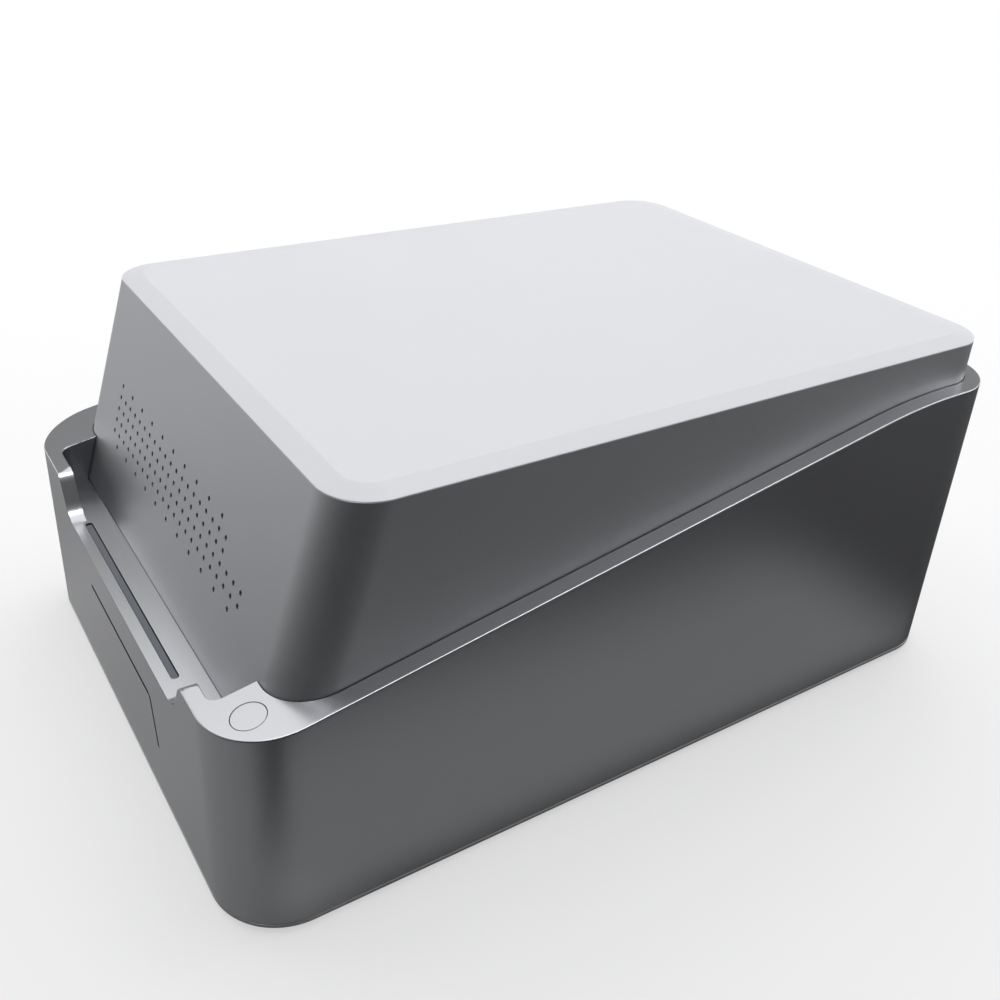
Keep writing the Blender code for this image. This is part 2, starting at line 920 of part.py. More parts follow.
def make_plate_carrier(material):
    half_length = slot_half_length - carrier_end_clearance
    top = ledge_top - carrier_top_drop
    arm_top = carrier_foot_height + carrier_arm_height
    arm_low_y = carrier_rear_y - weld_overlap
    arm_high_y = rod_y + carrier_arm_margin
    arm_start = slot_half_length - carrier_arm_lap
    left_end = -rod_x - rod_radius - running_clearance - arm_end_wall
    right_end = screw_x + screw_radius + running_clearance + arm_end_wall
    carrier = skin(
        "plate_carrier",
        box(-half_length, half_length, carrier_front_y, carrier_rear_y, carrier_foot_height, top),
    )
    arms = (
        box(left_end, -arm_start, arm_low_y, arm_high_y, carrier_foot_height, arm_top),
        box(arm_start, right_end, arm_low_y, arm_high_y, carrier_foot_height, arm_top),
    )
    join(carrier, skins("carrier_arms", arms))
    recess = box(
        -plate_recess_width / 2,
        plate_recess_width / 2,
        carrier_front_y - cut_overrun,
        carrier_front_y + plate_recess_depth,
        carrier_foot_height + plate_lip_height,
        top - plate_top_bar,
    )
    cut(carrier, skin("plate_recess", recess))
    bores = []
    for x, radius in ((-rod_x, rod_radius), (rod_x, rod_radius), (screw_x, screw_radius)):
        outline = circle(x, rod_y, radius + running_clearance, round_count)
        bores.append(prism(outline, carrier_foot_height - cut_overrun, arm_top + cut_overrun))
    cut(carrier, skins("carrier_bores", bores))
    return dress(carrier, material)


def make_lift(steel, brass, plastic, rubber, motor_black):
    for side, name in ((-1, "left"), (1, "right")):
        rod = prism(circle(side * rod_x, rod_y, rod_radius), inner_floor, inner_ceiling)
        dress(skin(f"guide_rod_{name}", rod), steel, smooth=True)
    screw = prism(circle(screw_x, rod_y, screw_radius), inner_floor + seat_gap, inner_ceiling - seat_gap)
    dress(set_origin(skin("lead_screw", screw), (screw_x, rod_y, inner_floor)), steel, smooth=True)
    outer = circle(screw_x, rod_y, bearing_radius)
    inner = circle(screw_x, rod_y, screw_radius + running_clearance)
    for name, low in (("bottom", inner_floor), ("top", inner_ceiling - bearing_height)):
        rings = ring_prism(outer, inner, low, low + bearing_height)
        dress(skin(f"screw_bearing_{name}", rings, closed=True), brass, smooth=True)
    make_screw_pulley(plastic)
    make_drive_pulley(plastic)
    make_drive_belt(rubber)
    make_lift_motor(motor_black)
    make_motor_bracket(steel)


def pulley_steps(radius):
    """Heights and radii of a flanged pulley, bottom to top."""
    flange = radius + pulley_lip
    return [
        (pulley_bottom, flange),
        (pulley_bottom + pulley_flange, flange),
        (pulley_bottom + pulley_flange, radius),
        (pulley_top - pulley_flange, radius),
        (pulley_top - pulley_flange, flange),
        (pulley_top, flange),
    ]


def make_screw_pulley(material):
    bore = screw_radius + running_clearance
    rings = [level(circle(screw_x, rod_y, radius), z) for z, radius in pulley_steps(screw_pulley_radius)]
    rings.append(level(circle(screw_x, rod_y, bore), pulley_top))
    rings.append(level(circle(screw_x, rod_y, bore), pulley_bottom))
    pulley = skin("screw_pulley", rings, closed=True)
    return dress(set_origin(pulley, (screw_x, rod_y, pulley_bottom)), material, smooth=True)


def make_drive_pulley(material):
    rings = [level(circle(motor_x, motor_y, radius), z) for z, radius in pulley_steps(drive_pulley_radius)]
    shaft_top = bracket_top + seat_gap + motor_shaft_entry
    rings.append(level(circle(motor_x, motor_y, motor_shaft_radius), pulley_top))
    rings.append(level(circle(motor_x, motor_y, motor_shaft_radius), shaft_top))
    pulley = skin("drive_pulley", rings)
    return dress(set_origin(pulley, (motor_x, motor_y, pulley_bottom)), material, smooth=True)


def belt_outline(offset):
    """The loop round both pulleys at this distance outside them, from two arcs and their tangents."""
    first = Vector((screw_x, rod_y))
    second = Vector((motor_x, motor_y))
    radii = (screw_pulley_radius + offset, drive_pulley_radius + offset)
    along = (second - first).normalized()
    heading = math.atan2(along.y, along.x)
    spread = math.acos((radii[0] - radii[1]) / (second - first).length)
    points = []
    for centre, radius, start, sweep in (
        (first, radii[0], heading + spread, 2 * math.pi - 2 * spread),
        (second, radii[1], heading - spread, 2 * spread),
    ):
        for step in range(small_round_count + 1):
            angle = start + sweep * step / small_round_count
            points.append((centre.x + radius * math.cos(angle), centre.y + radius * math.sin(angle)))
    return points


def make_drive_belt(material):
    low = pulley_bottom + pulley_flange + belt_edge_gap
    high = pulley_top - pulley_flange - belt_edge_gap
    outer = belt_outline(running_clearance + belt_thickness)
    rings = ring_prism(outer, belt_outline(running_clearance), low, high)
    return dress(skin("drive_belt", rings, closed=True), material, smooth=True)


def make_lift_motor(material):
    half = motor_size / 2
    low = bracket_top + seat_gap
    outline = rounded_rectangle(
        motor_x - half, motor_x + half, motor_y - half, motor_y + half, motor_corner_radius, 3
    )
    motor = skin("lift_motor", prism(outline, low, low + motor_height))
    bore = circle(motor_x, motor_y, motor_shaft_radius + running_clearance)
    cut(motor, skin("motor_bore", prism(bore, low - cut_overrun, low + motor_shaft_entry + cut_overrun)))
    return dress(motor, material)


def make_motor_bracket(material):
    half = motor_size / 2 + bracket_margin
    low_x = motor_x - half
    high_x = motor_x + half
    low_y = motor_y - half
    high_y = motor_y + half
    inner_x = high_x - bracket_plate
    inner_y = high_y - bracket_plate
    plate_low = bracket_top - bracket_plate
    bracket = skin("motor_bracket", box(low_x, high_x, low_y, high_y, plate_low, bracket_top))
    leg = [(high_x, low_y), (high_x, high_y), (low_x, high_y)]
    leg += [(low_x, inner_y), (inner_x, inner_y), (inner_x, low_y)]
    join(bracket, skin("bracket_legs", prism(leg, inner_floor, plate_low + weld_overlap)))
    hole = circle(motor_x, motor_y, bracket_opening_radius)
    cut(bracket, skin("bracket_hole", prism(hole, plate_low - cut_overrun, bracket_top + cut_overrun)))
    return dress(bracket, material)


def make_optics_bench(material):
    shoulder_y = bench_front_y + bench_tongue_length
    tongue = bench_tongue_width / 2
    outline = [
        (-tongue, bench_front_y),
        (tongue, bench_front_y),
        (tongue, shoulder_y),
        (bench_right, shoulder_y),
        (bench_right, bench_rear_y),
        (-bench_left, bench_rear_y),
        (-bench_left, shoulder_y),
        (-tongue, shoulder_y),
    ]
    bench = skin("optics_bench", prism(outline, bench_level, bench_top))
    places = [
        (x, y)
        for x in (-bench_left + bench_leg_inset, bench_right - bench_leg_inset)
        for y in (shoulder_y + bench_leg_inset, bench_rear_y - bench_leg_inset)
    ]
    places += [(side * (tongue - bench_leg_inset), bench_front_y + bench_leg_inset) for side in (-1, 1)]
    legs = []
    for x, y in places:
        leg = circle(x, y, bench_leg_radius, small_round_count)
        legs.append(prism(leg, inner_floor, bench_level + weld_overlap))
    join(bench, skins("bench_legs", legs))
    return dress(bench, material)


def polygon_outline(sides, radius, count):
    """A regular polygon traced by count points, so that it joins round rings of as many."""
    points = []
    for index in range(count):
        side, share = divmod(index * sides / count, 1)
        first = 2 * math.pi * side / sides
        second = 2 * math.pi * (side + 1) / sides
        x = (1 - share) * math.cos(first) + share * math.cos(second)
        y = (1 - share) * math.sin(first) + share * math.sin(second)
        points.append((radius * x, mirror_y + radius * y))
    return points


def make_scanner_head(steel, mirror, motor_black):
    half = scan_motor_size / 2
    low = bench_top + seat_gap
    can_top = scan_level - mirror_height / 2 - seat_gap
    hub_low = scan_level - mirror_height / 2
    flange = block(0, mirror_y, half, half, low, low + scan_motor_flange)
    motor = skin("scan_motor", flange)
    can = circle(0, mirror_y, scan_motor_radius)
    join(motor, skin("scan_motor_can", prism(can, low + weld_overlap, can_top - seat_gap)))
    dress(motor, steel)
    facets = polygon_outline(mirror_sides, mirror_radius, round_count)
    hub = circle(0, mirror_y, mirror_hub_radius)
    cap = circle(0, mirror_y, mirror_cap_radius)
    mirror_top = hub_low + mirror_height
    hub_top = hub_low + mirror_hub_height
    rings = [level(facets, hub_low), level(facets, mirror_top), level(hub, mirror_top), level(hub, hub_top)]
    rings.append(level(cap, hub_top + mirror_cap_rise))
    spinner = skin("polygon_mirror", rings)
    dress(set_origin(spinner, (0, mirror_y, scan_level)), mirror)
    profile = [
        (0, laser_nose_radius),
        (laser_nose_length, laser_nose_radius),
        (laser_nose_length, laser_body_radius),
    ]
    groove_pitch = laser_body_length / (laser_groove_count + 1)
    waist = laser_body_radius - laser_groove_depth
    for index in range(1, laser_groove_count + 1):
        start = laser_nose_length + index * groove_pitch - laser_groove_width / 2
        end = start + laser_groove_width
        profile += [(start, laser_body_radius), (start, waist), (end, waist), (end, laser_body_radius)]
    profile.append((laser_nose_length + laser_body_length, laser_body_radius))
    laser = skin("laser_module", turned((laser_nose_x, mirror_y, scan_level), (1, 0, 0), profile))
    dress(laser, motor_black, smooth=True)
    cradle_half = laser_cradle_width / 2
    cradle_end = laser_cradle_start + laser_cradle_length
    cradle_top = scan_level - laser_cradle_drop
    low_y = mirror_y - cradle_half
    high_y = mirror_y + cradle_half
    cradle = skin("laser_mount", box(laser_cradle_start, cradle_end, low_y, high_y, low, cradle_top))
    channel_radius = laser_body_radius + seat_gap
    channel = [(-cut_overrun, channel_radius), (laser_cradle_length + cut_overrun, channel_radius)]
    cut(cradle, skin("laser_channel", turned((laser_cradle_start, mirror_y, scan_level), (1, 0, 0), channel)))
    dress(cradle, steel)


def lens_outline():
    """Flat towards the mirror, bulged towards the plate."""
    points = [(lens_half_length, lens_y), (-lens_half_length, lens_y)]
    steps = corner_steps * 2
    for step in range(steps + 1):
        s = 2 * step / steps - 1
        points.append((s * lens_half_length, lens_y - lens_edge_thickness - lens_bulge * (1 - s * s)))
    return points


def make_lens(glass, plastic):
    low = bench_top + seat_gap
    lens_low = scan_level - lens_height / 2
    dress(skin("scan_lens", prism(lens_outline(), lens_low, lens_low + lens_height)), glass, smooth=True)
    depth = lens_edge_thickness + lens_bulge + lens_seat_margin
    seat = (-lens_half_length, lens_half_length, lens_y - depth, lens_y + lens_seat_margin)
    dress(skin("lens_mount", box(*seat, low, lens_low - seat_gap)), plastic)


def make_collector(acrylic, plastic, lamp_white):
    guide_front = carrier_rear_y + guide_carrier_gap
    guide_rear = guide_front + guide_length
    guide_half_length = slot_half_length - guide_end_gap
    outline = [
        (-guide_half_length, guide_front),
        (guide_half_length, guide_front),
        (guide_end_half_length, guide_rear),
        (-guide_end_half_length, guide_rear),
    ]
    dress(skin("light_guide", prism(outline, guide_level, guide_level + guide_height)), acrylic)
    detector_front = guide_rear + seat_gap
    detector = box(
        -detector_half_width,
        detector_half_width,
        detector_front,
        detector_front + detector_length,
        bench_top + seat_gap,
        detector_top,
    )
    dress(skin("detector_module", detector), plastic)
    lamp_front = slot_y + slot_width / 2 + seal_rear_wall + seat_gap
    lamp_low = inner_ceiling - lamp_height
    lamp_half_length = slot_half_length - lamp_end_gap
    lamp_extent = (-lamp_half_length, lamp_half_length, lamp_front, lamp_front + lamp_depth)
    lamp = skin("erase_lamp", box(*lamp_extent, lamp_low, inner_ceiling))
    groove_low = lamp_low + (lamp_height - lamp_groove_height) / 2
    groove = box(
        -lamp_half_length + lamp_groove_depth,
        lamp_half_length - lamp_groove_depth,
        lamp_front - cut_overrun,
        lamp_front + lamp_groove_depth,
        groove_low,
        groove_low + lamp_groove_height,
    )
    cut(lamp, skin("lamp_groove", groove))
    dress(lamp, lamp_white)


def front_point(x, along, inwards):
    """A point by the casing's front: along its slope from the foot, and square inwards from its face."""
    length = math.hypot(1, lean_rate)
    rise = along / length
    y = casing_foot_y + rise * lean_rate + inwards / length
    z = casing_foot + rise - inwards * lean_rate / length
    return (x, y, z)


def hole_places():
    """Centres of the perforations across and up the front. Odd columns sit half a cell higher."""
    for column in range(hole_columns):
        x = hole_field_shift + (column - (hole_columns - 1) / 2) * hole_pitch_across
        first = (column + 1) % 2
        for row in range(first, first + hole_rows):
            short = column >= hole_columns - short_columns
            if not short or row < short_column_rows:
                yield x, hole_first_row + row * hole_pitch_up


def hole_cutter():
    holes = []
    for x, along in hole_places():
        rings = []
        for inwards in (-cut_overrun, casing_wall + cut_overrun):
            flat = circle(0, 0, hole_radius, hole_sides)
            rings.append([front_point(x + across, along + up, inwards) for across, up in flat])
        holes.append(rings)
    return skins("hole_cutter", holes)


def casing_opening(inset=0):
    """Outline of the opening inside the casing's flange."""
    half = casing_half_width - casing_flange_width - inset
    front = casing_front_y(casing_top) + casing_flange_width + inset
    rear = casing_rear_y - casing_flange_width - inset
    return rounded_rectangle(-half, half, front, rear, casing_opening_radius - inset)


def make_upper_casing(material):
    casing = skin("upper_casing", casing_form(casing_foot, casing_top))
    cut(casing, skin("casing_hollow", casing_form(casing_foot - cut_overrun, casing_inner_top, -casing_wall)))
    opening_rings = prism(casing_opening(), casing_inner_top - cut_overrun, casing_top + cut_overrun)
    cut(casing, skin("casing_opening", opening_rings))
    cut(casing, hole_cutter())
    return dress(casing, material, smooth=True)


def make_top_cover(material):
    edge = casing_outline(casing_top)
    inner = casing_outline(casing_top, -cover_bevel_width)
    top = cover_edge_top + cover_bevel_rise
    rings = [level(edge, cover_bottom), level(edge, cover_edge_top), level(inner, top)]
    cover = skin("top_cover", rings)
    outer = casing_opening(seat_gap)
    inner = casing_opening(seat_gap + cover_lip_thickness)
    lip = ring_prism(outer, inner, cover_bottom - cover_lip_height, cover_bottom + weld_overlap)
    join(cover, skin("cover_lip", lip, closed=True))
    return dress(cover, material)


def standoffs(name, low_x, high_x, low_y, high_y, low, high):
    blocks = []
    for x in (low_x + pcb_corner_inset, high_x - pcb_corner_inset):
        for y in (low_y + pcb_corner_inset, high_y - pcb_corner_inset):
            blocks.append(prism(circle(x, y, standoff_radius, small_round_count), low, high))
    return skins(name, blocks)


def populate(board, name, low_x, high_x, low_y, high_y, top, chip_shares, sink_share):
    """Joins chips and a finned heat sink to a board, placed by shares of its length and width."""
    half = chip_size / 2
    chips = []
    for share_x, share_y in chip_shares:
        x = low_x + share_x * (high_x - low_x)
        y = low_y + share_y * (high_y - low_y)
        chips.append(block(x, y, half, half, top - weld_overlap, top + chip_height))
    join(board, skins(f"{name}_chips", chips))
    x = low_x + sink_share[0] * (high_x - low_x)
    y = low_y + sink_share[1] * (high_y - low_y)
    half = sink_size / 2
    base_top = top + sink_base
    join(board, skin(f"{name}_sink", block(x, y, half, half, top - weld_overlap, base_top)))
    fins = []
    pitch = (sink_size - sink_fin) / (sink_fin_count - 1)
    for index in range(sink_fin_count):
        fin_x = x - half + sink_fin / 2 + index * pitch
        fins.append(block(fin_x, y, sink_fin / 2, half, base_top - weld_overlap, top + sink_height))
    join(board, skins(f"{name}_fins", fins))


def make_equipment_deck(metal, board_green, can_metal, foam):
    side = casing_half_width - casing_wall - deck_side_gap
    front = casing_foot_y + casing_wall + deck_front_gap
    rear = casing_rear_y - casing_wall - deck_side_gap
    outline = rounded_rectangle(-side, side, front, rear, deck_corner_radius)
    deck = skin("equipment_deck", prism(outline, deck_bottom, deck_top))
    board_low_y = control_board_y - control_board_length / 2
    board_high_y = control_board_y + control_board_length / 2
    extent = (control_board_low_x, control_board_high_x, board_low_y, board_high_y)
    join(deck, standoffs("deck_standoffs", *extent, deck_top - weld_overlap, deck_top + standoff_height))
    vents = []
    for index in range(deck_vent_count):
        x = (index - (deck_vent_count - 1) / 2) * deck_vent_pitch
        vent = (x - deck_vent_width / 2, x + deck_vent_width / 2)
        vent_y = (rear - deck_vent_inset, rear - deck_vent_inset + deck_vent_length)
        vents.append(box(*vent, *vent_y, deck_bottom - cut_overrun, deck_top + cut_overrun))
    cut(deck, skins("deck_vents", vents))
    dress(deck, metal)
    low = deck_top + standoff_height + seat_gap
    board = skin("control_board", box(*extent, low, low + pcb_thickness))
    chip_shares = ((0.25, 0.3), (0.7, 0.25), (0.75, 0.8))
    populate(board, "control", *extent, low + pcb_thickness, chip_shares, (0.3, 0.68))
    dress(board, board_green)
    make_power_module(can_metal)
    make_intake_filter(foam)


def make_power_module(material):
    half_x = power_module_width / 2
    half_y = power_module_length / 2
    low = deck_top + seat_gap
    high = low + power_module_height
    centre = (power_module_x, power_module_y)
    module = skin("power_module", block(*centre, half_x, half_y, low, high))
    half_x -= power_lid_inset
    half_y -= power_lid_inset
    lid = block(*centre, half_x, half_y, high - weld_overlap, high + power_lid_height)
    join(module, skin("power_lid", lid))
    return dress(module, material)


def make_intake_filter(material):
    near = casing_wall + seat_gap
    far = near + filter_thickness
    half = (hole_columns - 1) / 2 * hole_pitch_across + hole_radius + filter_margin
    low_x = hole_field_shift - half
    high_x = hole_field_shift + half
    rings = []
    for along in (filter_start, filter_end):
        corners = ((low_x, near), (high_x, near), (high_x, far), (low_x, far))
        rings.append([front_point(x, along, inwards) for x, inwards in corners])
    return dress(skin("intake_filter", rings), material)


def make_main_board(material):
    half = half_width - main_board_side_inset
    extent = (-half, half, main_board_rear_y - main_board_length, main_board_rear_y)
    board = skin("main_board", box(*extent, main_board_level, main_board_top))
    join(board, standoffs("board_legs", *extent, inner_floor, main_board_level + weld_overlap))
    chip_shares = ((0.2, 0.45), (0.45, 0.3), (0.72, 0.72), (0.87, 0.3))
    populate(board, "main", *extent, main_board_top, chip_shares, (0.6, 0.4))
    return dress(board, material)


def make_usb_port(material):
    low = main_board_top + seat_gap
    rear = bay_face_y + socket_proud
    half = usb_width / 2
    port = skin("usb_port", box(usb_x - half, usb_x + half, rear - usb_length, rear, low, low + usb_height))
    hollow_half = half - usb_shell
    middle = low + usb_height / 2
    hollow_rise = usb_height / 2 - usb_shell
    hollow = box(
        usb_x - hollow_half,
        usb_x + hollow_half,
        rear - usb_depth,
        rear + cut_overrun,
        middle - hollow_rise,
        middle + hollow_rise,
    )
    cut(port, skin("usb_hollow", hollow))
    tongue_half = usb_tongue_width / 2
    tongue = box(
        usb_x - tongue_half,
        usb_x + tongue_half,
        rear - usb_depth - weld_overlap,
        rear - usb_shell,
        middle - usb_tongue_height / 2,
        middle + usb_tongue_height / 2,
    )
    join(port, skin("usb_tongue", tongue))
    return dress(port, material)


def make_dc_inlet(material):
    low = main_board_top + seat_gap
    rear = bay_face_y + socket_proud
    half = inlet_width / 2
    front = rear - inlet_length
    inlet = skin("dc_inlet", box(inlet_x - half, inlet_x + half, front, rear, low, low + usb_height))
    middle = low + usb_height / 2
    outer = circle(inlet_x, middle, inlet_bore_radius)
    inner = circle(inlet_x, middle, inlet_pin_radius)
    deep = rear - inlet_depth
    proud = rear + cut_overrun
    rings = [upright(outer, deep), upright(outer, proud), upright(inner, proud), upright(inner, deep)]
    cut(inlet, skin("inlet_bore", rings, closed=True))
    return dress(inlet, material)


def switch_block(width, height, low_y, high_y):
    """A box about the switch's centre line."""
    half = width / 2
    rise = height / 2
    return box(switch_x - half, switch_x + half, low_y, high_y, switch_level - rise, switch_level + rise)


def make_power_switch(frame_material, rocker_material):
    flange_low = bay_face_y + seat_gap
    flange_high = flange_low + switch_flange_thickness
    flange = switch_block(switch_flange_width, switch_flange_height, flange_low, flange_high)
    frame = skin("power_switch_frame", flange)
    body_low = flange_high - switch_body_depth
    body = switch_block(switch_body_width, switch_body_height, body_low, flange_low + weld_overlap)
    join(frame, skin("switch_body", body))
    opening_low = flange_high - switch_opening_depth
    opening_high = flange_high + cut_overrun
    opening = switch_block(switch_opening_width, switch_opening_height, opening_low, opening_high)
    cut(frame, skin("switch_opening", opening))
    seat_half = axle_length / 2 + seat_gap
    axis = (switch_x, rocker_axis_y, switch_level)
    seat = [(-seat_half, axle_radius + seat_gap), (seat_half, axle_radius + seat_gap)]
    cut(frame, skin("axle_seat", turned(axis, (1, 0, 0), seat, small_round_count)))
    dress(frame, frame_material)
    make_power_rocker(axis, rocker_material)


def make_power_rocker(axis, material):
    profile = [
        (-rocker_back, -rocker_back_half_height),
        (rocker_tip, -rocker_half_height),
        (rocker_valley, 0),
        (rocker_tip, rocker_half_height),
        (-rocker_back, rocker_back_half_height),
    ]
    tilt = Matrix.Rotation(-rocker_tilt, 3, "X")
    rings = []
    for x in (-rocker_width / 2, rocker_width / 2):
        rings.append([Vector(axis) + tilt @ Vector((x, y, z)) for y, z in profile])
    rocker = skin("power_rocker", rings)
    axle = [(-axle_length / 2, axle_radius), (axle_length / 2, axle_radius)]
    join(rocker, skin("rocker_axle", turned(axis, (1, 0, 0), axle, small_round_count)))
    return dress(set_origin(rocker, axis), material)


def make_fan(frame_material, rotor_material):
    half = fan_size / 2
    outline = rounded_rectangle(
        fan_x - half, fan_x + half, fan_level - half, fan_level + half, fan_corner_radius, corner_steps - 2
    )
    bore = circle(fan_x, fan_level, fan_bore_radius, len(outline))
    frame = skin("fan_frame", [upright(outline, fan_front_y), upright(outline, fan_rear_y)])
    bore_rings = [upright(bore, fan_front_y - cut_overrun), upright(bore, fan_rear_y + cut_overrun)]
    cut(frame, skin("fan_bore", bore_rings))
    disc = circle(fan_x, fan_level, fan_hub_radius)
    disc_rear = fan_front_y + fan_disc_thickness
    join(frame, skin("fan_disc", [upright(disc, fan_front_y), upright(disc, disc_rear)]))
    reach = fan_bore_radius + weld_overlap
    strut = fan_strut_width / 2
    low_y = fan_front_y + seat_gap
    high_y = disc_rear - seat_gap
    across = box(fan_x - reach, fan_x + reach, low_y, high_y, fan_level - strut, fan_level + strut)
    join(frame, skin("fan_strut_across", across))
    up = box(fan_x - strut, fan_x + strut, low_y, high_y, fan_level - reach, fan_level + reach)
    join(frame, skin("fan_strut_up", up))
    dress(frame, frame_material)
    make_fan_rotor(disc_rear + fan_rotor_gap, rotor_material)


def make_fan_rotor(start_y, material):
    axis = Vector((fan_x, start_y, fan_level))
    hub = circle(fan_x, fan_level, fan_hub_radius)
    rotor = skin("fan_rotor", [upright(hub, start_y), upright(hub, start_y + fan_rotor_length)])
    middle = axis + Vector((0, fan_rotor_length / 2, 0))
    chord = fan_blade_chord / 2
    thick = fan_blade_thickness / 2
    blades = []
    for index in range(fan_blade_count):
        turn = Matrix.Rotation(2 * math.pi * index / fan_blade_count, 3, "Y")
        pitch = Matrix.Rotation(fan_blade_pitch, 3, "Z")
        rings = []
        for radius in (fan_blade_root, fan_blade_radius):
            corners = ((-chord, -thick), (chord, -thick), (chord, thick), (-chord, thick))
            flat = [pitch @ Vector((along, across, 0)) for along, across in corners]
            rings.append([middle + turn @ (point + Vector((0, 0, radius))) for point in flat])
        blades.append(rings)
    join(rotor, skins("fan_blades", blades))
    return dress(set_origin(rotor, axis), material)


def build():
    for old in list(bpy.data.objects):
        bpy.data.objects.remove(old, do_unlink=True)
    silver = finish("silver_paint", (0.24, 0.245, 0.255), 0.34, 0.75)
    white = finish("white_cover", (0.80, 0.81, 0.83), 0.32, 0.0)
    dark_plate = finish("plate_paint", (0.35, 0.355, 0.365), 0.4, 0.6)
    rubber = finish("black_rubber", (0.02, 0.02, 0.022), 0.8, 0.0)
    black = finish("black_plastic", (0.03, 0.03, 0.032), 0.45, 0.0)
    carrier_blue = finish("carrier_grey_blue", (0.16, 0.17, 0.205), 0.5, 0.1)
    steel = finish("steel", (0.55, 0.56, 0.58), 0.25, 1.0)
    brass = finish("brass", (0.75, 0.55, 0.22), 0.3, 1.0)
    green = finish("board_green", (0.03, 0.16, 0.06), 0.5, 0.0)
    glass = finish("lens_glass", (0.75, 0.80, 0.85), 0.05, 0.0)
    mirror = finish("mirror_metal", (0.85, 0.86, 0.88), 0.06, 1.0)
    foam = finish("filter_foam", (0.06, 0.06, 0.065), 0.95, 0.0)
    make_base_shell(silver)
    make_bottom_plate(dark_plate)
    make_feet(rubber)
    make_base_screws(steel)
    make_accent_inlay(black)
    make_button(silver, black, green)
    make_slot_seal(rubber)
    make_plate_carrier(carrier_blue)
    make_lift(steel, brass, black, rubber, black)
    make_optics_bench(steel)
    make_scanner_head(steel, mirror, black)
    make_lens(glass, black)
    make_collector(glass, black, white)
    make_upper_casing(silver)
    make_top_cover(white)
    make_equipment_deck(steel, green, steel, foam)
    make_main_board(green)
    make_usb_port(steel)
    make_dc_inlet(black)
    make_power_switch(black, black)
    make_fan(black, black)


build()
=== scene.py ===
import math

import bpy
import numpy as np
from mathutils import Matrix, Vector


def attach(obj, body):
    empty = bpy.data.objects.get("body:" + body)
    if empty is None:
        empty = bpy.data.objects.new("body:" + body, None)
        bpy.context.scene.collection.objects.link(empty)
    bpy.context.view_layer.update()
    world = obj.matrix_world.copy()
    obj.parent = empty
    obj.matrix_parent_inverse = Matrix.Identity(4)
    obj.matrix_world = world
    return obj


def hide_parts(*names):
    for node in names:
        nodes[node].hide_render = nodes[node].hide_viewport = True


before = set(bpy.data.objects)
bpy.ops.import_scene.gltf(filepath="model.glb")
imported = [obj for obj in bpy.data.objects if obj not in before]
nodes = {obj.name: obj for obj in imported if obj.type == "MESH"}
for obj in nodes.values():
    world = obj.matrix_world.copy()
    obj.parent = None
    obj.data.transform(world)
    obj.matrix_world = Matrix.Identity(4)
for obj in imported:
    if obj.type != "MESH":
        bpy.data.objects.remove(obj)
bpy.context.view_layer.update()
print("frame loaded:", len(nodes), "nodes")

# Sizes of the case that several pieces share, in metres, front towards -Y
case = {
    "halfWidth": 0.110, "front": -0.1565, "rear": 0.1565, "cornerRadius": 0.0236,
    "shellBottom": 0.0039, "wall": 0.003, "ledge": 0.0597, "ledgeThickness": 0.003,
    "rimFront": 0.0743, "rimBack": 0.1229, "inclineEnd": 0.110, "bend": 0.020,
    "casingHalfWidth": 0.1034, "casingRear": 0.1502, "casingFootY": -0.1423, "casingFoot": 0.0600,
    "casingLean": 0.0232, "casingTop": 0.1382, "casingRadius": 0.0162, "casingWall": 0.0025,
    "brim": 0.1385, "coverBottom": 0.1386, "coverEdge": 0.1388, "coverTop": 0.1401,
}
case["rimSlope"] = (case["rimBack"] - case["rimFront"]) / (case["inclineEnd"] - case["front"])
case["leanRate"] = case["casingLean"] / (case["casingTop"] - case["casingFoot"])
middleRing = 0.3   # where the middle ring of a small rounding lies, as a share of its radius

# Shares of a straight side where an outline gets extra points, from either end to the middle
nearCorner = np.array([
    0.006, 0.012, 0.022, 0.035, 0.05, 0.065, 0.08, 0.095, 0.11, 0.125, 0.14, 0.155, 0.17, 0.2, 0.3, 0.4,
])


def rimHeight(y):
    # A straight incline from the front edge, then a parabola that meets the level rear rim
    incline = case["rimFront"] + case["rimSlope"] * (y - case["front"])
    bendStart = case["inclineEnd"] - case["bend"]
    startHeight = case["rimFront"] + case["rimSlope"] * (bendStart - case["front"])
    share = np.clip((y - bendStart) / (2 * case["bend"]), 0, 1)
    curved = case["rimBack"] - (1 - share) ** 2 * (case["rimBack"] - startHeight)
    return np.where(y < bendStart, incline, curved)


def casingFront(height):
    # The casing's front leans back in a straight line from its foot
    return case["casingFootY"] + case["leanRate"] * (height - case["casingFoot"])


def roundedOutline(lowX, highX, lowY, highY, radius, cornerSteps=28):
    # Straight sides joined by quarter circles, anticlockwise, with extra points by each corner's ends
    shares = np.concatenate([nearCorner, [0.5], 1 - nearCorner[::-1]])
    turn = np.linspace(0, math.pi / 2, cornerSteps + 1)
    centres = np.array([
        [highX - radius, highY - radius], [lowX + radius, highY - radius],
        [lowX + radius, lowY + radius], [highX - radius, lowY + radius],
    ])
    arcs = [
        centres[q] + radius * np.stack([np.cos(turn + q * math.pi / 2), np.sin(turn + q * math.pi / 2)], 1)
        for q in range(4)
    ]
    runs = []
    for q in range(4):
        start, end = arcs[q][-1], arcs[(q + 1) % 4][0]
        runs += [arcs[q], start + shares[:, None] * (end - start)]
    return np.concatenate(runs)


def circleOutline(centreX, centreY, radius, count):
    # Evenly spaced points round a circle, anticlockwise
    angle = np.linspace(0, 2 * math.pi, count, endpoint=False)
    return np.stack([centreX + radius * np.cos(angle), centreY + radius * np.sin(angle)], 1)


def atHeight(outline, height):
    # An outline in X and Y lifted to one height, or to a height for each of its points
    return np.column_stack([outline, np.broadcast_to(height, len(outline))])


def atDepth(outline, y):
    # An outline in X and Z stood up at one depth
    return np.column_stack([outline[:, 0], np.broadcast_to(y, len(outline)), outline[:, 1]])


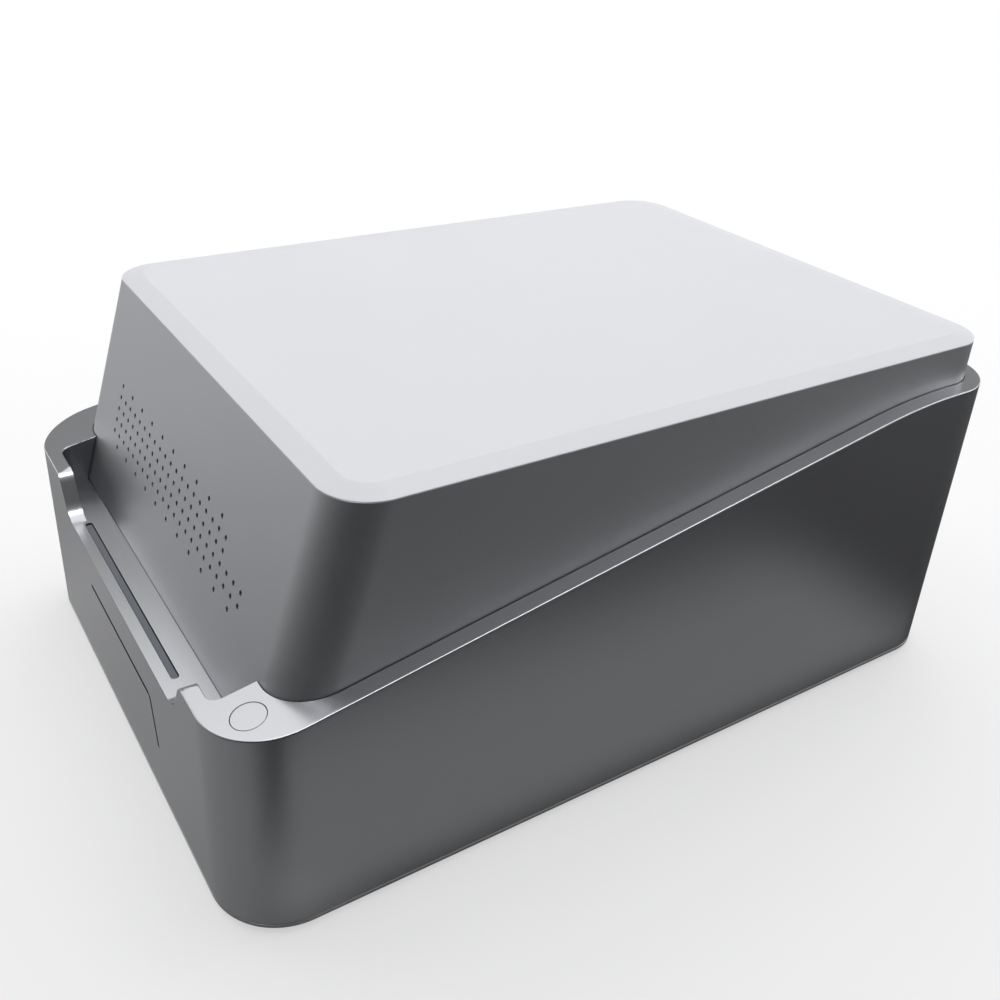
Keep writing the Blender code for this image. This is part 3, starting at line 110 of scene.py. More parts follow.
def addObject(name, data):
    # Every object goes in the scene's own collection
    piece = bpy.data.objects.new(name, data)
    bpy.context.scene.collection.objects.link(piece)
    return piece


def meshPiece(name, points, faces):
    # One closed surface, with its faces turned outwards
    mesh = bpy.data.meshes.new(name)
    mesh.from_pydata(points, [], faces)
    faceOutwards(mesh)
    return addObject(name, mesh)


def surface(name, grid, closed=False):
    # A grid of points: each row is a ring, and neighbouring rings are joined by squares.
    # closed joins the last ring to the first; otherwise both ends get a flat cap.
    grid = np.asarray(grid, float)
    rows, columns = grid.shape[:2]
    ring = np.arange(columns)
    after = (ring + 1) % columns
    low = np.arange(rows if closed else rows - 1)[:, None]
    high = (low + 1) % rows
    low, high = low * columns, high * columns
    faces = np.stack([low + ring, low + after, high + after, high + ring], 2).reshape(-1, 4).tolist()
    if not closed:
        faces += [ring[::-1].tolist(), (ring + (rows - 1) * columns).tolist()]
    return meshPiece(name, grid.reshape(-1, 3).tolist(), faces)


def faceOutwards(mesh):
    # The signed volume, summed over each face's fan of triangles, is negative when the faces point inwards
    mesh.calc_loop_triangles()
    corners = np.empty(len(mesh.loop_triangles) * 3, np.int32)
    mesh.loop_triangles.foreach_get("vertices", corners)
    points = np.empty(len(mesh.vertices) * 3, np.float32)
    mesh.vertices.foreach_get("co", points)
    a, b, c = points.reshape(-1, 3).astype(float)[corners.reshape(-1, 3)].transpose(1, 0, 2)
    if np.einsum("ij,ij->", a, np.cross(b, c)) < 0:
        mesh.flip_normals()


def turnedPiece(name, origin, direction, profile, count):
    # A profile of distance along the axis and radius, carried round the axis
    profile = np.asarray(profile, float)
    turn = np.array(Vector((0, 0, 1)).rotation_difference(Vector(direction)).to_matrix())
    angle = np.linspace(0, 2 * math.pi, count, endpoint=False)
    rings = np.stack([
        profile[:, 1:2] * np.cos(angle), profile[:, 1:2] * np.sin(angle),
        np.broadcast_to(profile[:, 0:1], (len(profile), count)),
    ], 2)
    return surface(name, rings @ turn.T + np.array(origin, float))


def slab(name, lowX, highX, lowY, highY, lowZ, highZ):
    # A box between two corners
    outline = np.array([[lowX, lowY], [highX, lowY], [highX, highY], [lowX, highY]])
    return surface(name, [atHeight(outline, lowZ), atHeight(outline, highZ)])


def carve(piece, cutter, operation="DIFFERENCE"):
    # The cutter is taken out of the piece, or added to it, once the piece is settled
    modifier = piece.modifiers.new(cutter.name, "BOOLEAN")
    modifier.operation = operation
    modifier.solver = "EXACT"
    modifier.object = cutter


def settle(piece, sharpAngle):
    # The modifiers' result becomes the piece's own mesh, and the cutters go
    cutters = [m.object for m in piece.modifiers if m.type == "BOOLEAN"]
    shaped = bpy.data.meshes.new_from_object(piece.evaluated_get(bpy.context.evaluated_depsgraph_get()))
    piece.modifiers.clear()
    old = piece.data
    piece.data = shaped
    bpy.data.meshes.remove(old)
    for cutter in cutters:
        bpy.data.objects.remove(cutter)
    shaped.shade_smooth()
    shaped.set_sharp_from_angle(angle=math.radians(sharpAngle))
    piece.modifiers.new("largeFacesFlat", "WEIGHTED_NORMAL").keep_sharp = True


def finished(piece, body, material, slot, *standsFor, sharpAngle=32):
    # Settled, coloured, and tied to its body and the CAD nodes it stands for
    settle(piece, sharpAngle)
    piece.data.materials.clear()
    piece.data.materials.append(material)
    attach(piece, body)
    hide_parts(*standsFor)
    return piece


# Shader nodes and groups that several finishes share
floatIn, colourIn, vectorIn = "NodeSocketFloat", "NodeSocketColor", "NodeSocketVector"


def addNode(tree, kind, settings=None, **links):
    # A node with its settings, and its inputs set to values or joined to sockets, by name or number
    node = tree.nodes.new(kind)
    for key, value in (settings or {}).items():
        setattr(node, key, value)
    for key, value in links.items():
        socket = node.inputs[int(key[1:])] if key[0] == "_" else node.inputs[key.replace("_", " ")]
        if isinstance(value, bpy.types.NodeSocket):
            tree.links.new(value, socket)
        else:
            socket.default_value = value
    return node


def reckon(tree, operation, *values):
    # One sum on numbers or sockets
    links = {f"_{place}": value for place, value in enumerate(values)}
    return addNode(tree, "ShaderNodeMath", {"operation": operation}, **links).outputs[0]


def blend(tree, share, first, second):
    # The first colour, moved by the share towards the second
    return addNode(tree, "ShaderNodeMix", {"data_type": "RGBA"}, _0=share, _6=first, _7=second).outputs[2]


def smoothFade(tree, value, start, end, least=0.0):
    # The least before the start, one past the end, and an S-curve between them
    return addNode(
        tree, "ShaderNodeMapRange", {"interpolation_type": "SMOOTHSTEP"},
        _0=value, _1=start, _2=end, _3=least).outputs[0]


def putIn(tree, group, **values):
    # A group placed in a material, with its inputs set by name
    return addNode(tree, "ShaderNodeGroup", {"node_tree": group}, **values)


def newGroup(name, inputs):
    # A group with the given inputs, and a colour, a roughness and a height as its outputs
    group = bpy.data.node_groups.new(name, "ShaderNodeTree")
    for label, kind, value in inputs:
        socket = group.interface.new_socket(name=label, in_out="INPUT", socket_type=kind)
        if value is not None:
            socket.default_value = value
    for label, kind in (("Color", colourIn), ("Roughness", floatIn), ("Height", floatIn)):
        group.interface.new_socket(name=label, in_out="OUTPUT", socket_type=kind)
    return group, group.nodes.new("NodeGroupInput").outputs, group.nodes.new("NodeGroupOutput").inputs


def endGroup(group, given, out, gain, swing, height):
    # The given colour times the gain, the given roughness plus the swing times its spread, and the height
    tinted = addNode(group, "ShaderNodeVectorMath", {"operation": "SCALE"}, _0=given["Color"], Scale=gain)
    rough = reckon(group, "MULTIPLY_ADD", swing, given["Roughness Spread"], given["Roughness"])
    for label, socket in (("Color", tinted.outputs[0]), ("Roughness", rough), ("Height", height)):
        group.links.new(socket, out[label])
    return group


def makeGrainGroup():
    # Colour lifted and lowered by coarse cloudiness and fine specks, with roughness and height to match
    group, given, out = newGroup("grain", [
        ("Vector", vectorIn, None), ("Color", colourIn, (0.5, 0.5, 0.5, 1)), ("Speck Scale", floatIn, 2500.0),
        ("Speck Amount", floatIn, 0.1), ("Cloud Amount", floatIn, 0.05), ("Roughness", floatIn, 0.35),
        ("Roughness Spread", floatIn, 0.05),
    ])
    speck = addNode(
        group, "ShaderNodeTexNoise", Vector=given["Vector"], Scale=given["Speck Scale"], Detail=2.0,
        Roughness=0.6).outputs["Fac"]
    cloud = addNode(group, "ShaderNodeTexNoise", Vector=given["Vector"], Scale=22.0, Detail=3.0).outputs["Fac"]
    speckSigned, cloudSigned = (reckon(group, "SUBTRACT", noise, 0.5) for noise in (speck, cloud))
    speckPart = reckon(group, "MULTIPLY", speckSigned, given["Speck Amount"])
    cloudPart = reckon(group, "MULTIPLY", cloudSigned, given["Cloud Amount"])
    gain = reckon(group, "ADD", reckon(group, "ADD", speckPart, cloudPart), 1.0)
    return endGroup(group, given, out, gain, cloudSigned, speck)


def makeBrushedGroup():
    # Fine streaks along one direction, as brushing or turning leaves them
    group, given, out = newGroup("brushed", [
        ("Vector", vectorIn, None), ("Color", colourIn, (0.6, 0.6, 0.6, 1)), ("Stretch", vectorIn, (1, 1, 1)),
        ("Amount", floatIn, 0.12), ("Roughness", floatIn, 0.3), ("Roughness Spread", floatIn, 0.15),
    ])
    stretched = addNode(
        group, "ShaderNodeVectorMath", {"operation": "MULTIPLY"}, _0=given["Vector"], _1=given["Stretch"])
    streak = addNode(
        group, "ShaderNodeTexNoise", Vector=stretched.outputs[0], Scale=1.0, Detail=4.0,
        Roughness=0.7).outputs["Fac"]
    signed = reckon(group, "SUBTRACT", streak, 0.5)
    gain = reckon(group, "MULTIPLY_ADD", signed, given["Amount"], 1.0)
    return endGroup(group, given, out, gain, signed, streak)


grainGroup = makeGrainGroup()
brushedGroup = makeBrushedGroup()


def startMaterial(name, metallic=0.0, **fixed):
    # A new material, its shader with the fixed inputs set, and the piece's own coordinates
    material = bpy.data.materials.new(name)
    material.use_nodes = True
    tree = material.node_tree
    shader = tree.nodes["Principled BSDF"]
    shader.inputs["Metallic"].default_value = metallic
    for key, value in fixed.items():
        shader.inputs[key.replace("_", " ")].default_value = value
    return material, tree, shader, addNode(tree, "ShaderNodeTexCoord").outputs["Object"]


def paintFrom(tree, shader, source):
    # The group's colour and roughness become the shader's
    tree.links.new(source.outputs["Color"], shader.inputs["Base Color"])
    tree.links.new(source.outputs["Roughness"], shader.inputs["Roughness"])


def bumpFrom(tree, shader, height, distance):
    # Relief whose full height is the distance, in metres
    bump = addNode(tree, "ShaderNodeBump", Height=height, Distance=distance, Strength=1.0)
    tree.links.new(bump.outputs["Normal"], shader.inputs["Normal"])


def grainMaterial(name, colour, roughness, metallic=0.0, specks=0.1, clouds=0.05, spread=0.05, scale=2500.0,
                  bump=0.00002, **fixed):
    # A finish from the grain group, on the piece's own coordinates
    material, tree, shader, place = startMaterial(name, metallic, **fixed)
    grain = putIn(
        tree, grainGroup, Vector=place, Color=(*colour, 1), Speck_Scale=scale, Speck_Amount=specks,
        Cloud_Amount=clouds, Roughness=roughness, Roughness_Spread=spread)
    paintFrom(tree, shader, grain)
    bumpFrom(tree, shader, grain.outputs["Height"], bump)
    return material


def brushedMaterial(name, colour, roughness, stretch, amount=0.15, spread=0.15, bump=0.000006):
    # Bare metal from the brushed group, whose streaks run square to the most stretched axis
    material, tree, shader, place = startMaterial(name, 1.0)
    streaks = putIn(
        tree, brushedGroup, Vector=place, Color=(*colour, 1), Stretch=stretch, Amount=amount,
        Roughness=roughness, Roughness_Spread=spread)
    paintFrom(tree, shader, streaks)
    bumpFrom(tree, shader, streaks.outputs["Height"], bump)
    return material


finishes = {
    "basePaint": grainMaterial("basePaint", (0.435, 0.443, 0.462), 0.25, metallic=0.95, specks=0.05,
                               clouds=0.03, spread=0.03, scale=1500.0, bump=0.0000004),
    "casingPaint": grainMaterial("casingPaint", (0.49, 0.499, 0.520), 0.43, metallic=0.93, specks=0.06,
                                 clouds=0.03, spread=0.04, scale=1500.0, bump=0.000001),
    "whiteCover": grainMaterial("whiteCover", (0.765, 0.777, 0.812), 0.42, specks=0.03, clouds=0.02,
                                spread=0.08, scale=1400.0, bump=0.000006, Specular_IOR_Level=0.2),
    "plateGrey": grainMaterial("plateGrey", (0.35, 0.355, 0.365), 0.4, metallic=0.9, specks=0.1, bump=0.000004),
    "blackLine": grainMaterial("blackLine", (0.004, 0.004, 0.005), 0.7, specks=0.2, bump=0.000004,
                               Specular_IOR_Level=0.05),
    "blackRubber": grainMaterial("blackRubber", (0.022, 0.022, 0.024), 0.78, specks=0.5, clouds=0.3, bump=0.00006),
    "carrierPlastic": grainMaterial("carrierPlastic", (0.15, 0.16, 0.195), 0.48, specks=0.12, bump=0.00002),
    "machineBlack": grainMaterial("machineBlack", (0.028, 0.028, 0.031), 0.46, specks=0.3, scale=1800.0,
                                  bump=0.00004),
    "switchBlack": grainMaterial("switchBlack", (0.02, 0.02, 0.022), 0.3, specks=0.2, bump=0.00001),
    "motorEnamel": grainMaterial("motorEnamel", (0.03, 0.03, 0.034), 0.32, metallic=0.3, specks=0.2,
                                 bump=0.00001, Coat_Weight=0.3),
    "laserBlack": brushedMaterial("laserBlack", (0.05, 0.05, 0.056), 0.35, (900, 40, 40)),
    "steel": brushedMaterial("steel", (0.58, 0.59, 0.61), 0.28, (60, 60, 900)),
    "brass": brushedMaterial("brass", (0.78, 0.58, 0.26), 0.3, (60, 60, 1200)),
    "castAlloy": grainMaterial("castAlloy", (0.50, 0.51, 0.53), 0.45, metallic=0.9, specks=0.25, scale=900.0,
                               bump=0.00006),
    "mirrorAlloy": brushedMaterial("mirrorAlloy", (0.88, 0.89, 0.90), 0.05, (30, 30, 400), amount=0.03,
                                   spread=0.04, bump=0.0000005),
    "deckZinc": brushedMaterial("deckZinc", (0.60, 0.61, 0.63), 0.38, (900, 30, 30)),
    "canMetal": brushedMaterial("canMetal", (0.62, 0.63, 0.65), 0.33, (30, 900, 30)),
    "lampWhite": grainMaterial("lampWhite", (0.78, 0.79, 0.80), 0.4, specks=0.05),
}


def makeGlass(name, colour, roughness):
    # Clear body with faint smudges in the polish
    material, tree, shader, place = startMaterial(name, Transmission_Weight=1.0, IOR=1.49)
    shader.inputs["Base Color"].default_value = (*colour, 1)
    smudge = putIn(
        tree, grainGroup, Vector=place, Color=(*colour, 1), Speck_Scale=140.0, Speck_Amount=0.04,
        Cloud_Amount=0.03, Roughness=roughness, Roughness_Spread=0.08)
    paintFrom(tree, shader, smudge)
    return material


def makeBoardGreen(name, low, top):
    # Solder mask over tracks on a fine raster, with bright pads at random cells. What stands off the
    # sheet, which lies between low and top, is black.
    material, tree, shader, place = startMaterial(name, Coat_Weight=0.2)
    clear = 0.00008   # how far off the sheet a part begins
    padReach = 0.16   # how far a pad reaches from the middle of its cell
    raster = addNode(
        tree, "ShaderNodeTexBrick", {"offset": 0.35, "squash": 0.6, "squash_frequency": 3},
        Vector=place, Scale=110.0, Mortar_Size=0.03, Color1=(0.018, 0.13, 0.045, 1), Color2=(0.024, 0.16, 0.058, 1),
        Mortar=(0.055, 0.27, 0.10, 1))
    cells = addNode(
        tree, "ShaderNodeTexVoronoi", {"feature": "F1", "distance": "CHEBYCHEV"}, Vector=place, Scale=260.0)
    pad = reckon(tree, "LESS_THAN", cells.outputs["Distance"], padReach)
    mixed = blend(tree, pad, raster.outputs["Color"], (0.62, 0.60, 0.52, 1))
    height = addNode(tree, "ShaderNodeSeparateXYZ", Vector=place).outputs["Z"]
    away = reckon(tree, "ABSOLUTE", reckon(tree, "SUBTRACT", height, (low + top) / 2))
    part = reckon(tree, "GREATER_THAN", away, (top - low) / 2 + clear)
    grain = putIn(
        tree, grainGroup, Vector=place, Color=blend(tree, part, mixed, (0.018, 0.018, 0.020, 1)),
        Speck_Scale=1500.0, Speck_Amount=0.15, Cloud_Amount=0.2, Roughness=0.4, Roughness_Spread=0.2)
    paintFrom(tree, shader, grain)
    bumpFrom(tree, shader, raster.outputs["Fac"], 0.00004)
    return material


def makeFoam():
    # Open cells: the pits between the cell walls are painted darker than the walls, as painted shade in the hollows
    material, tree, shader, place = startMaterial("filterFoam")
    cells = addNode(tree, "ShaderNodeTexVoronoi", {"feature": "DISTANCE_TO_EDGE"}, Vector=place, Scale=900.0)
    ramp = addNode(tree, "ShaderNodeValToRGB", Fac=cells.outputs["Distance"])
    # The pits' near-black is painted shade: the foam has one colour, and its pits are darker only where shade falls
    wall, pitShade = ramp.color_ramp.elements
    wall.color, pitShade.color, pitShade.position = (0.07, 0.07, 0.075, 1), (0.006, 0.006, 0.007, 1), 0.35
    grain = putIn(
        tree, grainGroup, Vector=place, Color=ramp.outputs["Color"], Speck_Scale=3000.0, Speck_Amount=0.2,
        Cloud_Amount=0.3, Roughness=0.92, Roughness_Spread=0.05)
    paintFrom(tree, shader, grain)
    bumpFrom(tree, shader, cells.outputs["Distance"], -0.0005)
    return material


finishes["lensGlass"] = makeGlass("lensGlass", (0.93, 0.96, 0.98), 0.02)
finishes["guideAcrylic"] = makeGlass("guideAcrylic", (0.80, 0.90, 0.98), 0.06)
for name, low, top in (
    ("buttonBoardGreen", 0.0451, 0.0463), ("controlBoardGreen", 0.0668, 0.0684), ("mainBoardGreen", 0.0090, 0.0106),
):
    finishes[name] = makeBoardGreen(name, low, top)
finishes["filterFoam"] = makeFoam()
print("finishes made:", len(finishes))

# CAD nodes that keep their own shape, by finish
keptNodes = {
    "carrierPlastic": ("plate_carrier",),
    "blackRubber": (
        "slot_light_seal", "drive_belt", "foot_front_left", "foot_front_right", "foot_rear_left",
        "foot_rear_right",
    ),
    "steel": (
        "base_screw_1", "base_screw_2", "base_screw_3", "base_screw_4", "guide_rod_left", "guide_rod_right",
        "lead_screw", "motor_bracket", "usb_port",
    ),
    "machineBlack": (
        "button_switch", "screw_pulley", "drive_pulley", "lens_mount", "detector_module", "dc_inlet",
        "fan_frame", "fan_rotor",
    ),
    "buttonBoardGreen": ("button_board",),
    "brass": ("screw_bearing_bottom", "screw_bearing_top"),
    "motorEnamel": ("lift_motor",),
    "castAlloy": ("optics_bench", "laser_mount", "scan_motor"),
    "laserBlack": ("laser_module",),
    "mirrorAlloy": ("polygon_mirror",),
    "lensGlass": ("scan_lens",),
    "guideAcrylic": ("light_guide",),
    "lampWhite": ("erase_lamp",),
    "deckZinc": ("equipment_deck",),
    "controlBoardGreen": ("control_board",),
    "canMetal": ("power_module",),
    "filterFoam": ("intake_filter",),
    "mainBoardGreen": ("main_board",),
    "switchBlack": ("power_switch_frame", "power_rocker"),
}
for finishName, nodeNames in keptNodes.items():
    for nodeName in nodeNames:
        nodes[nodeName].data.materials.clear()
        nodes[nodeName].data.materials.append(finishes[finishName])
print("CAD nodes finished:", sum(map(len, keptNodes.values())))


def casingOutline(height, grow=0.0):
    # The casing's outline at one height, grown square to its sides
    return roundedOutline(
        -case["casingHalfWidth"] - grow, case["casingHalfWidth"] + grow,
        casingFront(height) - grow, case["casingRear"] + grow, case["casingRadius"] + grow)


def baseOutline(inset=0.0):
    # The base's outline, drawn in by the inset
    return roundedOutline(
        -case["halfWidth"] + inset, case["halfWidth"] - inset,
        case["front"] + inset, case["rear"] - inset, case["cornerRadius"] - inset,
        cornerSteps=36)


# Base shell
shell = {
    "edgeRound": 0.00045, "footRound": 0.0001, "footBand": 0.001, "wallStart": 0.004,
    "wallShares": (0.15, 0.35, 0.55, 0.75, 0.9, 0.985, 1.0),
    "rimInsets": (0.0014, 0.0035, 0.0065, 0.0095, 0.0135, 0.018, 0.022), "seam": 0.00035, "pocketRise": 0.01,
    "troughHalf": 0.0844, "troughFront": -0.15125, "troughRadius": 0.0036,
    "scoopMiddle": 0.0656, "scoopShift": 0.0033, "scoopSlope": 62, "scoopLedgeRadius": 0.0095,
    "scoopRimRadius": 0.0070, "scoopSteps": 24, "scoopEdge": 0.0002, "cutEdge": 0.0003,
    "slotHalf": 0.051, "slotLow": -0.15255, "slotHigh": -0.14985, "slotRadius": 0.0012,
    "shelfInset": 0.0084, "shelfFront": -0.132, "shelfRadius": 0.010, "overrun": 0.002,
    "bayLeft": -0.101, "bayBlockLeft": -0.096, "bayRight": -0.020, "bayTop": 0.040, "bayBlock": 0.004,
    "bayRecess": 0.0032, "bayMargin": 0.003, "bayWeld": 0.0005, "bayFloorGap": 0.0003,
}


def makeBaseBody():
    # The outline is carried up the wall, over a small quarter round and in along the inclined rim
    edge, foot = shell["edgeRound"], shell["footRound"]
    footSteps = (
        (foot, 0.0), (foot * middleRing, foot * middleRing), (0.0, foot), (0.0, shell["footBand"]),
        (0.0, shell["wallStart"]))   # inset and height of each ring
    rows = [atHeight(baseOutline(inset), case["shellBottom"] + height) for inset, height in footSteps]
    top = rimHeight(baseOutline()[:, 1]) - edge
    low = case["shellBottom"] + shell["wallStart"]
    rows += [atHeight(baseOutline(), low + (top - low) * share) for share in shell["wallShares"]]
    for angle in np.radians([22.5, 45, 67.5, 90]):
        outline = baseOutline(edge * (1 - math.cos(angle)))
        rows.append(atHeight(outline, rimHeight(outline[:, 1]) - edge * (1 - math.sin(angle))))
    for inset in shell["rimInsets"]:
        outline = baseOutline(inset)
        rows.append(atHeight(outline, rimHeight(outline[:, 1])))
    return surface("baseShell", rows)


def rimFlare(outlineFor, low):
    # A cutter whose wall opens over the last bit below the inclined rim, which leaves a fine chamfer
    edge, spare = shell["cutEdge"], shell["overrun"]
    rows = [atHeight(outlineFor(0.0), low)]
    for grow, rise in ((0.0, -edge), (edge, 0.0), (edge + spare, spare)):
        outline = outlineFor(grow)
        rows.append(atHeight(outline, rimHeight(outline[:, 1]) + rise))
    rows.append(atHeight(outlineFor(edge + spare), case["rimBack"] + 2 * spare))
    return rows


def pocketCutter():
    # The casing's outline with a seam round it, from the ledge to above the rim
    high = case["rimBack"] + shell["pocketRise"]
    rings = [atHeight(casingOutline(z, shell["seam"]), z) for z in (case["ledge"], high)]
    return surface("pocketCutter", rings)


def troughCutter():
    # The dip in front of the casing, open at its rear to the casing's pocket
    half = shell["troughHalf"]
    rear = casingFront(case["rimFront"]) + case["casingWall"] + shell["overrun"]

    def outlineFor(grow):
        return roundedOutline(
            -half - grow, half + grow, shell["troughFront"] - grow, rear, shell["troughRadius"] + grow,
            cornerSteps=10)

    return surface("troughCutter", rimFlare(outlineFor, case["ledge"]))


def scoopProfile(grow=0.0):
    # Half the front wall's dip: an arc off the ledge, a slope, an arc onto the rim, then its mirror image.
    # grow moves the profile outwards along its own normal.
    top = rimHeight(np.array(shell["troughFront"])).item()
    slope = math.radians(shell["scoopSlope"])
    low, high, fall = shell["scoopLedgeRadius"], shell["scoopRimRadius"], 1 - math.cos(slope)
    run = (top - case["ledge"] - fall * (low + high)) / math.tan(slope)
    lowX = shell["scoopMiddle"] - run / 2 - low * math.sin(slope)
    highX = shell["scoopMiddle"] + run / 2 + high * math.sin(slope)
    turn = np.linspace(0, slope, shell["scoopSteps"])
    lower = np.stack([lowX + low * np.sin(turn), case["ledge"] + low * (1 - np.cos(turn))], 1)
    upper = np.stack([highX - high * np.sin(turn[::-1]), top - high * (1 - np.cos(turn[::-1]))], 1)
    curve = np.concatenate([lower, upper])
    step = np.gradient(curve, axis=0)
    normal = np.stack([step[:, 1], -step[:, 0]], 1) / np.linalg.norm(step, axis=1)[:, None]
    curve = curve + normal * grow
    end = curve[-1] + np.array([0.0, shell["overrun"] * 2])
    side = np.concatenate([curve, end[None]])
    whole = np.concatenate([side, side[::-1] * np.array([-1, 1])])
    return whole + np.array([shell["scoopShift"], 0])


def scoopCutter():
    # The profile runs through the wall and widens over the last bit before the front face
    edge, over = shell["scoopEdge"], shell["overrun"]
    rings = [
        atDepth(scoopProfile(edge + over), case["front"] - over), atDepth(scoopProfile(edge), case["front"]),
        atDepth(scoopProfile(edge * middleRing), case["front"] + edge * middleRing),
        atDepth(scoopProfile(), case["front"] + edge), atDepth(scoopProfile(), shell["troughFront"] + over),
    ]
    return surface("scoopCutter", rings)


def verticalCutter(name, outline, low, high):
    # An outline carried straight up
    return surface(name, [atHeight(outline, low), atHeight(outline, high)])


rearHoles = {
    "usbHole": (-0.0443, -0.0317, 0.0106, 0.0222), "inletHole": (-0.0628, -0.0532, 0.0106, 0.0222),
    "switchHole": (-0.0933, -0.0727, 0.0169, 0.0311),   # low X, high X, low Z, high Z
}
grille = {"centreX": 0.050, "count": 7, "pitch": 0.005, "half": 0.0015, "low": 0.013, "high": 0.047, "round": 0.0014}
screws = {
    "places": ((-0.1035, -0.080), (0.1035, -0.080), (-0.1035, 0.120), (0.1035, 0.120)),
    "bossRadius": 0.004, "bossLow": 0.0042, "bossHigh": 0.0199, "shankRadius": 0.0018, "shankTop": 0.015,
    "headRadius": 0.0034, "headDepth": 0.0016,
}
posts = {"places": ((0.0902, -0.14475), (0.0902, -0.14015)), "radius": 0.0012, "low": 0.0466, "weld": 0.0005}
button = {
    "centre": (0.0959, -0.1443), "radius": 0.0053, "ringGap": 0.0001, "thickness": 0.0025, "crown": 0.0002,
    "stemRadius": 0.0018, "stemCentre": (0.0974, -0.1468), "wellSpare": 0.001, "clearance": 0.0003,
    "stemReach": 0.03, "stemFoot": 0.0522, "footRound": 0.0003, "stemRound": 0.0004, "stemTip": 0.8,
    "crownSteps": ((1.5, 0.0), (0.6, 0.4), (0.1, 1.0), (0.0, 2.2)), "crownFlat": 0.6,
}
rimNormal = np.array([0.0, -case["rimSlope"], 1.0])
rimNormal /= np.linalg.norm(rimNormal)


def onRim(x, y):
    # The rim's point above a place in plan
    return np.array([x, y, rimHeight(np.array(y)).item()])


def makeBaseShell():
    # The body less its pocket, trough, cavity and openings, plus its bosses and the rear bay's block
    over = shell["overrun"]
    body = makeBaseBody()
    carve(body, pocketCutter())
    carve(body, troughCutter())
    carve(body, scoopCutter())
    under = case["ledge"] - case["ledgeThickness"]
    cavity = baseOutline(case["wall"])
    carve(body, verticalCutter("cavityCutter", cavity, case["shellBottom"] - over, under))
    inset = shell["shelfInset"]
    shelf = roundedOutline(
        -case["casingHalfWidth"] + inset, case["casingHalfWidth"] - inset, shell["shelfFront"],
        case["casingRear"] - inset, shell["shelfRadius"], cornerSteps=12)
    carve(body, verticalCutter("shelfCutter", shelf, under - over, case["ledge"] + over))
    slot = roundedOutline(
        -shell["slotHalf"], shell["slotHalf"], shell["slotLow"], shell["slotHigh"], shell["slotRadius"],
        cornerSteps=8)
    carve(body, verticalCutter("slotCutter", slot, under - over, case["ledge"] + over))
    well = button["thickness"] + button["wellSpare"]
    wellRadius = button["radius"] + button["ringGap"]
    carve(body, turnedPiece(
        "wellCutter", onRim(*button["centre"]), rimNormal, [(-well, wellRadius), (over, wellRadius)], count=96))
    stemRadius = button["stemRadius"] + button["clearance"]
    carve(body, turnedPiece(
        "stemCutter", onRim(*button["stemCentre"]), rimNormal,
        [(-button["stemReach"], stemRadius), (button["clearance"] - well, stemRadius)], count=32))
    rear = case["rear"]
    carve(body, slab(
        "bayBlock", shell["bayBlockLeft"], shell["bayRight"], rear - case["wall"] - shell["bayBlock"],
        rear - case["wall"] + shell["bayWeld"], case["shellBottom"] + shell["bayFloorGap"], shell["bayTop"]),
        "UNION")
    margin = shell["bayMargin"]
    recess = roundedOutline(
        shell["bayLeft"] + margin, shell["bayRight"] - margin, case["shellBottom"] + margin,
        shell["bayTop"] - margin, margin, cornerSteps=10)
    carve(body, surface("bayRecess", [atDepth(recess, rear - shell["bayRecess"]), atDepth(recess, rear + over)]))
    low, high = rear - case["wall"] - shell["bayBlock"] - over, rear + over
    for name, (lowX, highX, lowZ, highZ) in rearHoles.items():
        carve(body, slab(name, lowX, highX, low, high, lowZ, highZ))
    for index in range(grille["count"]):
        x = grille["centreX"] + (index - (grille["count"] - 1) / 2) * grille["pitch"]
        outline = roundedOutline(
            x - grille["half"], x + grille["half"], grille["low"], grille["high"], grille["round"],
            cornerSteps=6)
        carve(body, surface(f"grilleCutter{index}", [atDepth(outline, low), atDepth(outline, high)]))
    carve(body, accentCutter())
    for number, (x, y) in enumerate(screws["places"]):
        boss = circleOutline(x, y, screws["bossRadius"], count=32)
        carve(body, verticalCutter(f"boss{number}", boss, screws["bossLow"], screws["bossHigh"]), "UNION")
        pilot = circleOutline(x, y, screws["shankRadius"], count=24)
        carve(body, verticalCutter(f"pilot{number}", pilot, case["shellBottom"] - over, screws["shankTop"]))
    for number, (x, y) in enumerate(posts["places"]):
        post = circleOutline(x, y, posts["radius"], count=24)
        carve(body, verticalCutter(f"post{number}", post, posts["low"], under + posts["weld"]), "UNION")
    return finished(body, "case", finishes["basePaint"], "base_paint", "base_shell")


accent = {
    "start": (-0.033, 0.0442), "bend": (0.0365, 0.0442), "end": (0.0404, 0.0253), "round": 0.0022,
    "bendSteps": 12, "half": 0.00075, "gap": 0.00006, "recess": 0.0001, "depth": 0.0006,
}


def accentOutline(grow=0.0):
    # The bent line with its corner on a parabola, widened square to its own direction
    a, b, c = (np.array(accent[k]) for k in ("start", "bend", "end"))
    first, last = (b - a) / np.linalg.norm(b - a), (c - b) / np.linalg.norm(c - b)
    enter, leave = b - first * accent["round"], b + last * accent["round"]
    t = np.linspace(0, 1, accent["bendSteps"])[:, None]
    curve = (1 - t) ** 2 * enter + 2 * t * (1 - t) * b + t ** 2 * leave
    path = np.concatenate([[a - first * grow], curve, [c + last * grow]])
    along = np.gradient(path, axis=0)
    along[0], along[-1] = first, last
    along /= np.linalg.norm(along, axis=1)[:, None]
    side = np.stack([-along[:, 1], along[:, 0]], 1) * (accent["half"] + grow)
    return np.concatenate([path + side, (path - side)[::-1]])


def accentCutter():
    # The groove that the line lies in, with a gap all round
    outline = accentOutline(accent["gap"])
    depth = accent["recess"] + accent["depth"] + accent["gap"]
    return surface("accentCutter", [
        atDepth(outline, case["front"] - shell["overrun"]), atDepth(outline, case["front"] + depth)])


